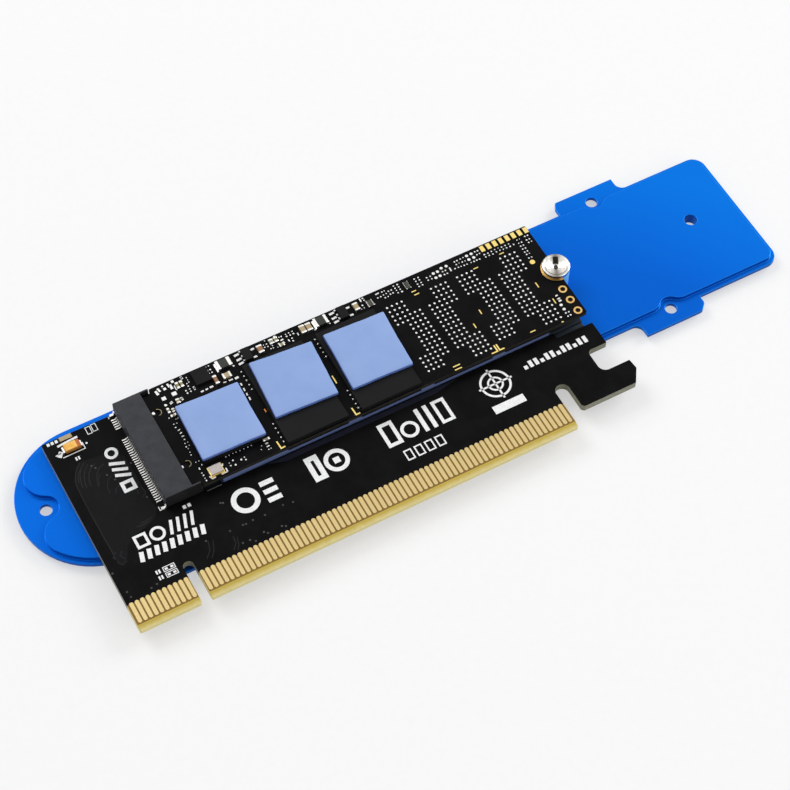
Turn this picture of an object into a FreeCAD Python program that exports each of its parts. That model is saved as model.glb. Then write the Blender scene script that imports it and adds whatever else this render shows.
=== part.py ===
import FreeCAD
import Part
import math
import os

# NVMe adapter card: a blue anodised plate carries a black board with an x16 card edge,
# an M.2 socket and an 80 mm storage module held by one screw.
#
# Frame: +X runs along the card away from the bracket end, +Y away from the card edge,
# +Z up from the plate. The origin is the bottom centre of the whole card, in millimetres.
# Card positions are kept from two datums: X from pad 12 of the card edge, Y from the top
# ends of the card edge pads. What fits, seats or lines up with another piece is worked out
# from the same sizes and a named clearance.

DOC = FreeCAD.newDocument("nvme_adapter_card")
SHEET = DOC.addObject("Spreadsheet::Sheet", "Sizes")

SIZES = [
    # plate, placed from the card edge
    ("plate_low", 9.4, "lower long edge of the rim above the pads"),
    ("plate_width", 28.2, "rim width across the card"),
    ("plate_over", 9.25, "reach of the round end past the board's left edge"),
    ("plate_length", 146.9, "rim length"),
    ("plate_corner", 2.6, "radius of the two right corners"),
    ("rim_base", 0.85, "underside of the rim above the core's underside"),
    ("rim_thick", 0.8, "thickness of the rim"),
    ("core_thick", 2.5, "thickness of the core, underside to plateau"),
    ("rim_step", 0.85, "width of the rim outside the plateau"),
    ("lip_in", 16.6, "lip under the card edge, from the plate's left end"),
    ("lip_width", 9.0, "lip along the plate"),
    ("lip_reach", 7.3, "lip past the plate's near long edge"),
    ("lip_corner", 1.5, "corners of the lip"),
    ("tab_in", 30.9, "left side of both side tabs from the right end"),
    ("tab_width", 13.1, "width of the side tabs"),
    ("tab_reach", 2.95, "reach of the side tabs past the rim"),
    ("tab_corner", 1.3, "rounded outer corner of a tab"),
    ("tab_corner_ease", 0.9, "radius easing the rounded corner"),
    ("tab_blend", 1.6, "hollow corner at the root of a tab"),
    ("plate_hole", 2.2, "diameter of the fixing holes"),
    ("tab_hole_along", 6.9, "tab holes from the tab's left side"),
    ("tab_hole_in", 0.15, "tab holes inside the rim's long edge"),
    ("end_hole_in", 5.1, "hole in the round end from its tip"),
    ("end_hole_off", 0.9, "hole in the round end off the middle line"),
    ("core_hole_in", 10.1, "hole through the plateau from the right end"),
    ("core_hole_off", 1.1, "hole through the plateau off the middle line"),
    ("core_hole", 2.4, "diameter of the hole through the plateau"),
    ("end_bay", 2.35, "radius of the bay round the end hole"),
    ("end_blend", 4.1, "radius blending the end bay into the plateau"),
    ("tab_bay", 2.1, "radius of the bays round the tab holes"),
    ("tab_bay_blend", 3.0, "radius blending the tab bays into the plateau"),
    # card edge pads
    ("pad_pitch", 1.0, "pad pitch"),
    ("pad_width", 0.7, "pad width"),
    ("pad_length", 4.1, "pad length"),
    ("pad_thick", 0.05, "pad thickness over the board"),
    ("pad_first", 11, "pads left of the key notch"),
    ("pad_second", 71, "pads right of the key notch"),
    ("pad_key_gap", 3.0, "centres of the pads either side of the key notch"),
    ("pad_margin", 0.4, "board left at each end of the row of pads"),
    ("pad_inset", 1.35, "ends of the pads above the board's bottom edge"),
    # carrier board
    ("board_thick", 1.6, "thickness of the carrier board"),
    ("board_corner", 0.3, "corners of the card edge"),
    ("bevel_high", 1.1, "height of the lead-in bevel"),
    ("bevel_deep", 0.42, "depth of the lead-in bevel"),
    ("key_width", 1.9, "width of the key notch"),
    ("key_top", 2.65, "top of the key notch above the pads"),
    ("slot_width", 2.7, "width of the relief slot"),
    ("slot_top", 3.55, "top of the relief slot above the pads"),
    ("hook_drop", 2.45, "bottom of the retention hook below the pads' tops"),
    ("hook_reach", 12.8, "tip of the hook from the relief slot"),
    ("hook_ease", 0.45, "cut corner of the hook beside the relief slot"),
    ("hook_cut_along", 1.75, "cut corner of the hook's tip, along the card"),
    ("hook_cut_up", 2.65, "cut corner of the hook's tip, across the card"),
    ("hook_lip", 0.2, "set-back of the hook's upper lip"),
    ("throat_low", 2.25, "lower side of the hook's throat above the pads"),
    ("throat_high", 7.4, "upper side of the hook's throat above the pads"),
    ("throat_in", 6.9, "closed side of the throat from the relief slot"),
    ("throat_corner", 1.5, "lower corner of the throat"),
    ("throat_top_corner", 0.9, "upper corner of the throat"),
    ("right_edge_in", 10.95, "board edge above the throat from the relief slot"),
    ("strip_step_in", 3.55, "where the strip gets lower, from the relief slot"),
    ("strip_drop", 1.2, "how much lower the end of the strip is"),
    ("strip_rise", 0.1, "top of the strip inside the module's near edge"),
    # socket
    ("socket_left", 0.1, "rear face from pad 12"),
    ("socket_depth", 7.0, "rear face to the front edge of the floor"),
    ("wall_depth", 6.75, "rear face to the front of the end walls"),
    ("roof_depth", 5.15, "rear face to the front edge of the roof"),
    ("socket_roof", 0.65, "thickness of the roof"),
    ("socket_wall", 0.75, "thickness of the end walls"),
    ("socket_cheek", 0.35, "thickness of the end walls in front of the roof"),
    ("socket_clear", 0.15, "room above and below the tongue"),
    ("tongue_side_clear", 0.125, "room at each side of the tongue"),
    ("tongue_end_clear", 0.15, "room at the tip of the tongue and beside the key rib"),
    ("socket_over", 0.1, "far end of the socket past the board's top edge"),
    ("board_past_socket", 0.1, "right side of the full height part past the socket"),
    ("tail_pitch", 0.5, "contact pitch"),
    ("tail_width", 0.2, "contact width"),
    ("tail_thick", 0.12, "contact thickness"),
    ("tail_reach", 1.1, "reach of the rear tails"),
    ("tail_high", 0.4, "height of the tails where they enter the socket"),
    ("tail_first_in", 1.3, "first rear tail from the socket's far end"),
    ("tail_first", 5, "rear tails beyond the key"),
    ("tail_second_in", 5.9, "first rear tail of the long row from the far end"),
    ("tail_second", 29, "rear tails of the long row"),
    ("ear_width", 0.45, "width of the hold-down ears"),
    ("ear_reach", 0.9, "reach of the hold-down ears"),
    ("ear_high", 0.7, "height of the hold-down ears"),
    ("ear_thick", 0.15, "thickness of the hold-down ears"),
    # module
    ("shoulder_gap", 0.2, "socket's end walls to the module's shoulder"),
    ("module_off", 1.0, "module's middle line from the plate's"),
    ("module_length", 76.75, "shoulder to free end"),
    ("module_width", 22.1, "width"),
    ("module_thick", 0.8, "board thickness"),
    ("module_base", 1.5, "underside over the carrier board"),
    ("tongue_shoulder", 1.075, "shoulder at each side of the tongue"),
    ("tongue_length", 3.25, "length of the tongue"),
    ("tongue_key_off", 6.1, "first key of the tongue off the middle line"),
    ("tongue_key_down", 5.75, "second key of the tongue off the middle line"),
    ("tongue_key", 1.2, "width of the tongue's keys"),
    ("tongue_key_deep", 3.3, "depth of the tongue's keys"),
    ("end_notch", 3.5, "diameter of the notch for the screw"),
    ("copper", 0.04, "thickness of bare pads"),
    ("ring_in", 1.3, "plated holes from the free end"),
    ("ring_up", 1.1, "first plated hole from the near long edge"),
    ("ring_pitch", 2.65, "pitch of the plated holes"),
    ("ring_count", 3, "plated holes"),
    ("ring_outer", 1.6, "outer diameter of the rings"),
    ("ring_hole", 0.95, "hole in the rings"),
    ("end_pad_in", 10.05, "first edge test pad from the free end"),
    ("end_pad_pitch", 1.315, "pitch of the edge test pads"),
    ("end_pad_count", 8, "edge test pads"),
    ("end_pad_length", 0.8, "edge test pads along the module"),
    ("end_pad_width", 1.3, "edge test pads across the module"),
    ("end_pad_margin", 0.25, "edge test pads inside the far long edge"),
    # packages, placed from the module's shoulder and near long edge
    ("chip_high", 1.0, "height of the large packages"),
    ("controller_in", 2.15, "controller from the shoulder"),
    ("controller_up", 3.4, "controller from the near long edge"),
    ("controller_size", 11.4, "controller"),
    ("memory_gap", 2.9, "controller to the first memory package"),
    ("memory_space", 2.7, "first to second memory package"),
    ("memory_up", 0.2, "memory packages from the near long edge"),
    ("memory_width", 11.8, "memory packages along the module"),
    ("memory_length", 18.0, "memory packages across the module"),
    ("lower_count", 4, "memory packages on the module's underside"),
    ("lower_high", 0.8, "height of the packages on the underside"),
    # thermal pads, each placed from its package
    ("soft_thick", 0.8, "thickness of the upper thermal pads"),
    ("soft_controller_dx", 0.1, "middle of the pad off its package's middle, along the card"),
    ("soft_controller_dy", 0.35, "the same, across the card"),
    ("soft_controller_turn", -2.0, "how far the pad was laid askew, in degrees"),
    ("soft_controller_along", 12.1, "pad along the card"),
    ("soft_controller_across", 12.1, "pad across the card"),
    ("soft_a_dx", 0.7, "middle of the pad off its package's middle, along the card"),
    ("soft_a_dy", 2.0, "the same, across the card"),
    ("soft_a_turn", -4.1, "how far the pad was laid askew, in degrees"),
    ("soft_a_along", 12.1, "pad along the card"),
    ("soft_a_across", 12.4, "pad across the card"),
    ("soft_b_dx", 0.7, "middle of the pad off its package's middle, along the card"),
    ("soft_b_dy", 1.25, "the same, across the card"),
    ("soft_b_turn", -2.5, "how far the pad was laid askew, in degrees"),
    ("soft_b_along", 12.1, "pad along the card"),
    ("soft_b_across", 12.6, "pad across the card"),
    ("soft_low_start", 0.25, "board's full height part to the lower pad"),
    ("soft_low_lead", 3.45, "thin first part of the lower pad"),
    ("soft_low_lead_high", 0.6, "height of the thin first part"),
    ("soft_low_tail", 6.5, "thin last part of the lower pad"),
    ("soft_low_tail_high", 1.3, "height of the thin last part"),
    ("soft_low_gap", 0.15, "board strip to the lower pad"),
    ("soft_low_end", 0.7, "lower pad inside the module's free end"),
    ("soft_low_in", 0.55, "lower pad inside the module's far long edge"),
    ("soft_low_relief", 0.4, "clearance of the lower pad round the standoff"),
    # screw and standoff
    ("post", 5.2, "diameter of the standoff"),
    ("notch_clear", 0.15, "collar to the module's notch"),
    ("collar_share", 0.8, "share of the module's thickness that the collar fills"),
    ("thread_clear", 0.02, "screw to the standoff's bore"),
    ("bore_floor", 0.2, "metal left under the bore"),
    ("tip_gap", 0.14, "screw tip to the bottom of the bore"),
    ("screw_head", 5.2, "head diameter"),
    ("screw_head_high", 0.95, "head height"),
    ("screw_head_ease", 0.3, "rounding of the head's rim"),
    ("screw_shank", 1.96, "shank diameter"),
    ("recess_span", 1.7, "span of the cross recess"),
    ("recess_width", 0.42, "width of the cross recess"),
    ("recess_deep", 0.55, "depth of the cross recess"),
    ("ring_margin", 0.2, "bare ring outside the screw head"),
    # bare pad by the board's top edge
    ("bare_pad_in", 3.2, "from the board's left edge"),
    ("bare_pad_length", 2.3, "length"),
    ("bare_pad_width", 0.85, "width"),
    ("bare_pad_margin", 0.05, "inside the board's top edge"),
    # tantalum capacitor
    ("tantalum_in", 2.95, "from the board's left edge"),
    ("tantalum_down", 3.7, "near side from the board's top edge"),
    ("tantalum_length", 3.3, "length over the terminals"),
    ("tantalum_width", 2.0, "width"),
    ("tantalum_high", 1.6, "height"),
    ("tantalum_bevel", 0.2, "bevel round its top"),
    ("terminal_thick", 0.12, "thickness of its terminals"),
    ("terminal_in", 0.3, "terminals inside its sides"),
    ("terminal_foot", 0.7, "length of a terminal's foot"),
    ("terminal_high", 0.9, "height of a terminal"),
    ("terminal_lift", 0.15, "moulded body over the board"),
    # crystal
    ("crystal_in", 1.9, "from the module's shoulder"),
    ("crystal_up", 0.55, "from the module's near long edge"),
    ("crystal_length", 2.55, "length"),
    ("crystal_width", 2.0, "width"),
    ("crystal_high", 0.7, "height"),
    ("crystal_lid_in", 0.15, "lid inside the base"),
]

GIVEN = {alias: value for alias, value, meaning in SIZES}


def worked_out(given):
    """Places that follow from the sizes, as (alias, value, meaning)."""
    rows = {}
    rows["board_left"] = (
        -given["pad_key_gap"] - given["pad_pitch"] * (given["pad_first"] - 1)
        - given["pad_width"] / 2.0 - given["pad_margin"]
    )
    rows["edge_right"] = (
        given["pad_pitch"] * (given["pad_second"] - 1)
        + given["pad_width"] / 2.0 + given["pad_margin"]
    )
    rows["edge_low"] = -given["pad_length"] - given["pad_inset"]
    rows["key_centre"] = -given["pad_key_gap"] / 2.0
    rows["slot_right"] = rows["edge_right"] + given["slot_width"]
    rows["hook_low"] = -given["hook_drop"]
    rows["hook_right"] = rows["slot_right"] + given["hook_reach"]
    rows["throat_left"] = rows["slot_right"] + given["throat_in"]
    rows["board_right"] = rows["slot_right"] + given["right_edge_in"]
    rows["strip_step"] = rows["slot_right"] + given["strip_step_in"]
    rows["plate_left"] = rows["board_left"] - given["plate_over"]
    rows["plate_right"] = rows["plate_left"] + given["plate_length"]
    rows["plate_middle"] = given["plate_low"] + given["plate_width"] / 2.0
    rows["plate_high"] = given["plate_low"] + given["plate_width"]
    rows["tab_left"] = rows["plate_right"] - given["tab_in"]
    rows["tab_hole_x"] = rows["tab_left"] + given["tab_hole_along"]
    rows["end_hole_x"] = rows["plate_left"] + given["end_hole_in"]
    rows["end_hole_y"] = rows["plate_middle"] + given["end_hole_off"]
    rows["core_hole_x"] = rows["plate_right"] - given["core_hole_in"]
    rows["core_hole_y"] = rows["plate_middle"] + given["core_hole_off"]
    rows["module_middle"] = rows["plate_middle"] + given["module_off"]
    rows["module_low"] = rows["module_middle"] - given["module_width"] / 2.0
    rows["module_high"] = rows["module_low"] + given["module_width"]
    rows["socket_front"] = given["socket_left"] + given["socket_depth"]
    rows["roof_front"] = given["socket_left"] + given["roof_depth"]
    rows["wall_front"] = given["socket_left"] + given["wall_depth"]
    rows["module_left"] = rows["wall_front"] + given["shoulder_gap"]
    rows["module_right"] = rows["module_left"] + given["module_length"]
    rows["tongue_width"] = given["module_width"] - 2.0 * given["tongue_shoulder"]
    rows["tongue_tip"] = rows["module_left"] - given["tongue_length"]
    rows["tongue_key_y"] = rows["module_middle"] + given["tongue_key_off"]
    rows["tongue_key_low_y"] = rows["module_middle"] - given["tongue_key_down"]
    rows["socket_width"] = rows["tongue_width"] + 2.0 * (
        given["tongue_side_clear"] + given["socket_wall"]
    )
    rows["socket_low"] = rows["module_middle"] - rows["socket_width"] / 2.0
    rows["socket_far"] = rows["socket_low"] + rows["socket_width"]
    rows["socket_floor"] = given["module_base"] - given["socket_clear"]
    rows["socket_high"] = (
        given["module_base"] + given["module_thick"] + given["socket_clear"]
        + given["socket_roof"]
    )
    rows["board_top"] = rows["socket_far"] - given["socket_over"]
    rows["board_step"] = rows["socket_front"] + given["board_past_socket"]
    rows["strip_top"] = rows["module_low"] + given["strip_rise"]
    rows["strip_low"] = rows["strip_top"] - given["strip_drop"]
    rows["tail_first_y"] = rows["socket_far"] - given["tail_first_in"]
    rows["tail_second_y"] = rows["socket_far"] - given["tail_second_in"]
    rows["ring_x"] = rows["module_right"] - given["ring_in"]
    rows["ring_y"] = rows["module_low"] + given["ring_up"]
    rows["end_pad_x"] = rows["module_right"] - given["end_pad_in"]
    rows["end_pad_y"] = rows["module_high"] - given["end_pad_margin"] - given["end_pad_width"]
    rows["controller_x"] = rows["module_left"] + given["controller_in"]
    rows["controller_y"] = rows["module_low"] + given["controller_up"]
    rows["memory_a_x"] = rows["controller_x"] + given["controller_size"] + given["memory_gap"]
    rows["memory_b_x"] = rows["memory_a_x"] + given["memory_width"] + given["memory_space"]
    rows["memory_y"] = rows["module_low"] + given["memory_up"]
    middles = {
        "controller": (rows["controller_x"] + given["controller_size"] / 2.0,
                       rows["controller_y"] + given["controller_size"] / 2.0),
        "a": (rows["memory_a_x"] + given["memory_width"] / 2.0,
              rows["memory_y"] + given["memory_length"] / 2.0),
        "b": (rows["memory_b_x"] + given["memory_width"] / 2.0,
              rows["memory_y"] + given["memory_length"] / 2.0),
    }
    for name, (middle_x, middle_y) in middles.items():
        turn = math.radians(given["soft_%s_turn" % name])
        along = given["soft_%s_along" % name] / 2.0
        across = given["soft_%s_across" % name] / 2.0
        rows["soft_%s_x" % name] = (
            middle_x + given["soft_%s_dx" % name]
            - along * math.cos(turn) + across * math.sin(turn)
        )
        rows["soft_%s_y" % name] = (
            middle_y + given["soft_%s_dy" % name]
            - along * math.sin(turn) - across * math.cos(turn)
        )
    rows["soft_low_x"] = rows["board_step"] + given["soft_low_start"]
    rows["soft_low_y"] = rows["strip_top"] + given["soft_low_gap"]
    rows["soft_low_length"] = rows["module_right"] - given["soft_low_end"] - rows["soft_low_x"]
    rows["soft_low_width"] = rows["module_high"] - given["soft_low_in"] - rows["soft_low_y"]
    rows["post_neck"] = given["end_notch"] - 2.0 * given["notch_clear"]
    rows["post_bore"] = given["screw_shank"] + 2.0 * given["thread_clear"]
    rows["end_ring"] = given["screw_head"] + 2.0 * given["ring_margin"]
    rows["screw_length"] = (
        given["board_thick"] + given["module_base"] + given["module_thick"]
        + given["copper"] - given["bore_floor"] - given["tip_gap"]
    )
    rows["bare_pad_x"] = rows["board_left"] + given["bare_pad_in"]
    rows["bare_pad_y"] = rows["board_top"] - given["bare_pad_margin"] - given["bare_pad_width"]
    rows["tantalum_x"] = rows["board_left"] + given["tantalum_in"]
    rows["tantalum_y"] = rows["board_top"] - given["tantalum_down"]
    rows["crystal_x"] = rows["module_left"] + given["crystal_in"]
    rows["crystal_y"] = rows["module_low"] + given["crystal_up"]
    left = min(rows["plate_left"], rows["board_left"])
    right = max(rows["plate_right"], rows["hook_right"], rows["module_right"])
    low = min(rows["edge_low"], given["plate_low"] - given["tab_reach"])
    high = max(rows["plate_high"] + given["tab_reach"], rows["socket_far"])
    rows["pad_twelve_x"] = -(left + right) / 2.0
    rows["pad_top_y"] = -(low + high) / 2.0
    return [(alias, value, "worked out") for alias, value in rows.items()]


for row, (alias, value, meaning) in enumerate(SIZES + worked_out(GIVEN), start=1):
    SHEET.set("A%d" % row, meaning)
    SHEET.set("B%d" % row, str(value))
    SHEET.setAlias("B%d" % row, alias)
DOC.recompute()

SUB_PARTS = []

# length of a tool that has to pass right through the card
THROUGH = 20.0

# how far a tool stands off a face that it mustn't share
NEARLY = 0.01


def size(alias):
    """One driving size, read from the sheet."""
    return float(SHEET.get(alias))


def at_x(value):
    """Card position along X, turned into the card's own frame."""
    return value + size("pad_twelve_x")


def at_y(value):
    """Card position along Y, turned into the card's own frame."""
    return value + size("pad_top_y")


BOARD_BASE = size("core_thick")
BOARD_FACE = BOARD_BASE + size("board_thick")
MODULE_BASE = BOARD_FACE + size("module_base")
MODULE_FACE = MODULE_BASE + size("module_thick")


def keep(obj, label):
    """Name a finished sub-part and list it for writing."""
    obj.Label = label
    SUB_PARTS.append(obj)
    return obj


def shape_part(label, shape):
    """A sub-part whose shape is worked out from the sheet."""
    obj = DOC.addObject("Part::Feature", label)
    obj.Shape = shape
    return keep(obj, label)


def bound(obj, **cells):
    """Tie the properties of an object to cells of the sheet."""
    for name, expression in cells.items():
        obj.setExpression(name.replace("__", "."), expression)
    return obj


def box(label, length, width, height, x, y, z):
    """A box with its three sizes and its place given as expressions."""
    obj = DOC.addObject("Part::Box", label)
    bound(obj, Length=length, Width=width, Height=height)
    bound(obj, Placement__Base__x=x, Placement__Base__y=y, Placement__Base__z=z)
    return obj


def cylinder(label, radius, height, x, y, z):
    """An upright cylinder with its sizes and its place given as expressions."""
    obj = DOC.addObject("Part::Cylinder", label)
    bound(obj, Radius=radius, Height=height)
    bound(obj, Placement__Base__x=x, Placement__Base__y=y, Placement__Base__z=z)
    return obj


def fused(label, parts):
    """Several solids joined into one."""
    obj = DOC.addObject("Part::MultiFuse", label)
    obj.Shapes = parts
    obj.Refine = True
    return obj


def cut(label, base, tool):
    """One solid with another taken away."""
    obj = DOC.addObject("Part::Cut", label)
    obj.Base = base
    obj.Tool = tool
    obj.Refine = True
    return obj


X0 = "Sizes.pad_twelve_x + "
Y0 = "Sizes.pad_top_y + "
FACE_Z = "Sizes.core_thick + Sizes.board_thick"
MODULE_Z = FACE_Z + " + Sizes.module_base"
MODULE_TOP_Z = MODULE_Z + " + Sizes.module_thick"
CHIP_TOP_Z = MODULE_TOP_Z + " + Sizes.chip_high"


def point(x, y, z=0.0):
    return FreeCAD.Vector(at_x(x), at_y(y), z)


def rounded_face(corners, z):
    """A flat face from corner points, each given as (x, y, radius)."""
    edges = []
    count = len(corners)
    starts = []
    ends = []
    mids = []
    for i in range(count):
        x, y, radius = corners[i]
        here = point(x, y, z)
        before = point(corners[i - 1][0], corners[i - 1][1], z)
        after = point(corners[(i + 1) % count][0], corners[(i + 1) % count][1], z)
        to_before = (before - here).normalize()
        to_after = (after - here).normalize()
        if radius <= 0:
            starts.append(here)
            ends.append(here)
            mids.append(None)
            continue
        half = to_before.getAngle(to_after) / 2.0
        run = radius / math.tan(half)
        middle = (to_before + to_after).normalize()
        centre = here + middle * (radius / math.sin(half))
        starts.append(here + to_before * run)
        ends.append(here + to_after * run)
        mids.append(centre - middle * radius)
    for i in range(count):
        if mids[i] is not None:
            edges.append(Part.Arc(starts[i], mids[i], ends[i]).toShape())
        following = starts[(i + 1) % count]
        if ends[i].distanceToPoint(following) > 1e-6:
            edges.append(Part.LineSegment(ends[i], following).toShape())
    return Part.Face(Part.Wire(edges))


def block(x, y, z, length, width, height):
    """A plain block at a card position."""
    return Part.makeBox(length, width, height, point(x, y, z))


def rod(x, y, z, radius, height):
    """An upright round bar at a card position."""
    return Part.makeCylinder(radius, height, point(x, y, z))


def bay_on_line(x, y, line, bay, blend, direction):
    """Arcs that lead the plateau's long edge round a tab hole.

    The blend circles touch the edge and the bay circle; direction is +1 when the plateau
    lies above the edge and -1 when it lies below.
    """
    centre_y = line + direction * blend
    across = math.sqrt((bay + blend) ** 2 - (centre_y - y) ** 2)
    left = (x - across, centre_y)
    right = (x + across, centre_y)
    touch_left = toward((x, y), left, bay)
    touch_right = toward((x, y), right, bay)
    crown = (x, y + direction * bay)
    line_left = (left[0], line)
    line_right = (right[0], line)
    return (
        line_left,
        line_right,
        [
            (line_left, arc_middle(left, line_left, touch_left, blend), touch_left),
            (touch_left, crown, touch_right),
            (touch_right, arc_middle(right, touch_right, line_right, blend), line_right),
        ],
    )


def toward(start, goal, distance):
    """The point at a distance from start on the way to goal."""
    span = math.hypot(goal[0] - start[0], goal[1] - start[1])
    return (
        start[0] + (goal[0] - start[0]) * distance / span,
        start[1] + (goal[1] - start[1]) * distance / span,
    )


def arc_middle(centre, first, last, radius):
    """The middle of the short arc between two points of a circle."""
    middle = ((first[0] + last[0]) / 2.0, (first[1] + last[1]) / 2.0)
    return toward(centre, middle, radius)


def circle_meets(a, ra, b, rb):
    """The two points where two circles cross, the upper one first."""
    span = math.hypot(b[0] - a[0], b[1] - a[1])
    along = (ra ** 2 - rb ** 2 + span ** 2) / (2.0 * span)
    off = math.sqrt(ra ** 2 - along ** 2)
    ux = (b[0] - a[0]) / span
    uy = (b[1] - a[1]) / span
    foot = (a[0] + ux * along, a[1] + uy * along)
    one = (foot[0] - uy * off, foot[1] + ux * off)
    two = (foot[0] + uy * off, foot[1] - ux * off)
    return (one, two) if one[1] > two[1] else (two, one)


def plateau_face(z):
    """Outline of the raised plateau with its three bays round the fixing holes."""
    step = size("rim_step")
    low = size("plate_low") + step
    high = size("plate_high") - step
    right = size("plate_right") - step
    rim_radius = size("plate_width") / 2.0
    centre = (size("plate_left") + rim_radius, size("plate_middle"))
    radius = rim_radius - step
    corner = size("plate_corner") - step
    bay = size("tab_bay")
    blend = size("tab_bay_blend")
    hole_x = size("tab_hole_x")
    hole_low = size("plate_low") + size("tab_hole_in")
    hole_high = size("plate_high") - size("tab_hole_in")
    low_left, low_right, low_arcs = bay_on_line(hole_x, hole_low, low, bay, blend, 1)
    high_left, high_right, high_arcs = bay_on_line(hole_x, hole_high, high, bay, blend, -1)
    end_hole = (size("end_hole_x"), size("end_hole_y"))
    upper, lower = circle_meets(
        centre, radius - size("end_blend"), end_hole, size("end_bay") + size("end_blend")
    )
    upper_out = toward(centre, upper, radius)
    lower_out = toward(centre, lower, radius)
    upper_in = toward(end_hole, upper, size("end_bay"))
    lower_in = toward(end_hole, lower, size("end_bay"))
    edges = []

    def line(first, last):
        edges.append(Part.LineSegment(point(*first, z), point(*last, z)).toShape())

    def arc(first, mid, last):
        edges.append(Part.Arc(point(*first, z), point(*mid, z), point(*last, z)).toShape())

    slant = corner * (1.0 - math.sqrt(0.5))
    line((centre[0], low), low_left)
    for first, mid, last in low_arcs:
        arc(first, mid, last)
    line(low_right, (right - corner, low))
    arc((right - corner, low), (right - slant, low + slant), (right, low + corner))
    line((right, low + corner), (right, high - corner))
    arc((right, high - corner), (right - slant, high - slant), (right - corner, high))
    line((right - corner, high), high_right)
    for first, mid, last in reversed(high_arcs):
        arc(last, mid, first)
    line(high_left, (centre[0], high))
    top = (centre[0], high)
    base = (centre[0], low)
    arc(top, arc_middle(centre, top, upper_out, radius), upper_out)
    arc(upper_out, arc_middle(upper, upper_out, upper_in, size("end_blend")), upper_in)
    arc(upper_in, (end_hole[0] + size("end_bay"), end_hole[1]), lower_in)
    arc(lower_in, arc_middle(lower, lower_in, lower_out, size("end_blend")), lower_out)
    arc(lower_out, arc_middle(centre, lower_out, base, radius), base)
    return Part.Face(Part.Wire(edges))


def tab_face(z, upper):
    """Outline of a side tab, with one rounded corner and one hollow root."""
    left = size("tab_left")
    right = left + size("tab_width")
    reach = size("tab_reach")
    corner = size("tab_corner")
    blend = size("tab_blend")
    low = size("plate_low")
    high = size("plate_high")
    ease = size("tab_corner_ease")
    lap = 2.0 * blend
    if upper:
        corners = [
            (left, high - lap, 0),
            (right + lap, high - lap, 0),
            (right + lap, high, 0),
            (right, high, blend),
            (right, high + reach, 0),
            (left + corner / 2.0, high + reach, ease / 2.0),
            (left, high + reach - corner, ease),
        ]
    else:
        corners = [
            (right, low + lap, 0),
            (left - lap, low + lap, 0),
            (left - lap, low, 0),
            (left, low, blend),
            (left, low - reach, 0),
            (right - corner, low - reach, ease),
            (right, low - reach + corner, ease),
        ]
    return rounded_face(corners, z)


def heatsink_plate():
    """Rim slab with a round end, two tabs and a lip, thickened into a core with bays and holes."""
    low = size("plate_low")
    high = size("plate_high")
    radius = size("plate_width") / 2.0
    right = size("plate_right")
    left = size("plate_left")
    corner = size("plate_corner")
    base = size("rim_base")
    thick = size("rim_thick")
    up = FreeCAD.Vector(0, 0, thick)
    rim = rounded_face(
        [(left + radius, low, 0), (right, low, corner), (right, high, corner),
         (left + radius, high, 0)],
        base,
    ).extrude(up)
    round_end = rod(left + radius, low + radius, base, radius, thick)
    tabs = [tab_face(base, True).extrude(up), tab_face(base, False).extrude(up)]
    lip_left = left + size("lip_in")
    lip_right = lip_left + size("lip_width")
    lip_low = low - size("lip_reach")
    lip = rounded_face(
        [(lip_left, lip_low, size("lip_corner")), (lip_right, lip_low, size("lip_corner")),
         (lip_right, low + corner, 0), (lip_left, low + corner, 0)],
        base,
    ).extrude(up)
    core = plateau_face(0.0).extrude(FreeCAD.Vector(0, 0, size("core_thick")))
    body = rim.multiFuse([round_end, lip] + tabs + [core])
    hole = size("plate_hole") / 2.0
    tab_in = size("tab_hole_in")
    holes = [
        (size("tab_hole_x"), low + tab_in, hole),
        (size("tab_hole_x"), high - tab_in, hole),
        (size("end_hole_x"), size("end_hole_y"), hole),
        (size("core_hole_x"), size("core_hole_y"), size("core_hole") / 2.0),
    ]
    for x, y, hole_radius in holes:
        body = body.cut(rod(x, y, -THROUGH, hole_radius, 2.0 * THROUGH))
    return shape_part("heatsink_plate", body.removeSplitter())


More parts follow.
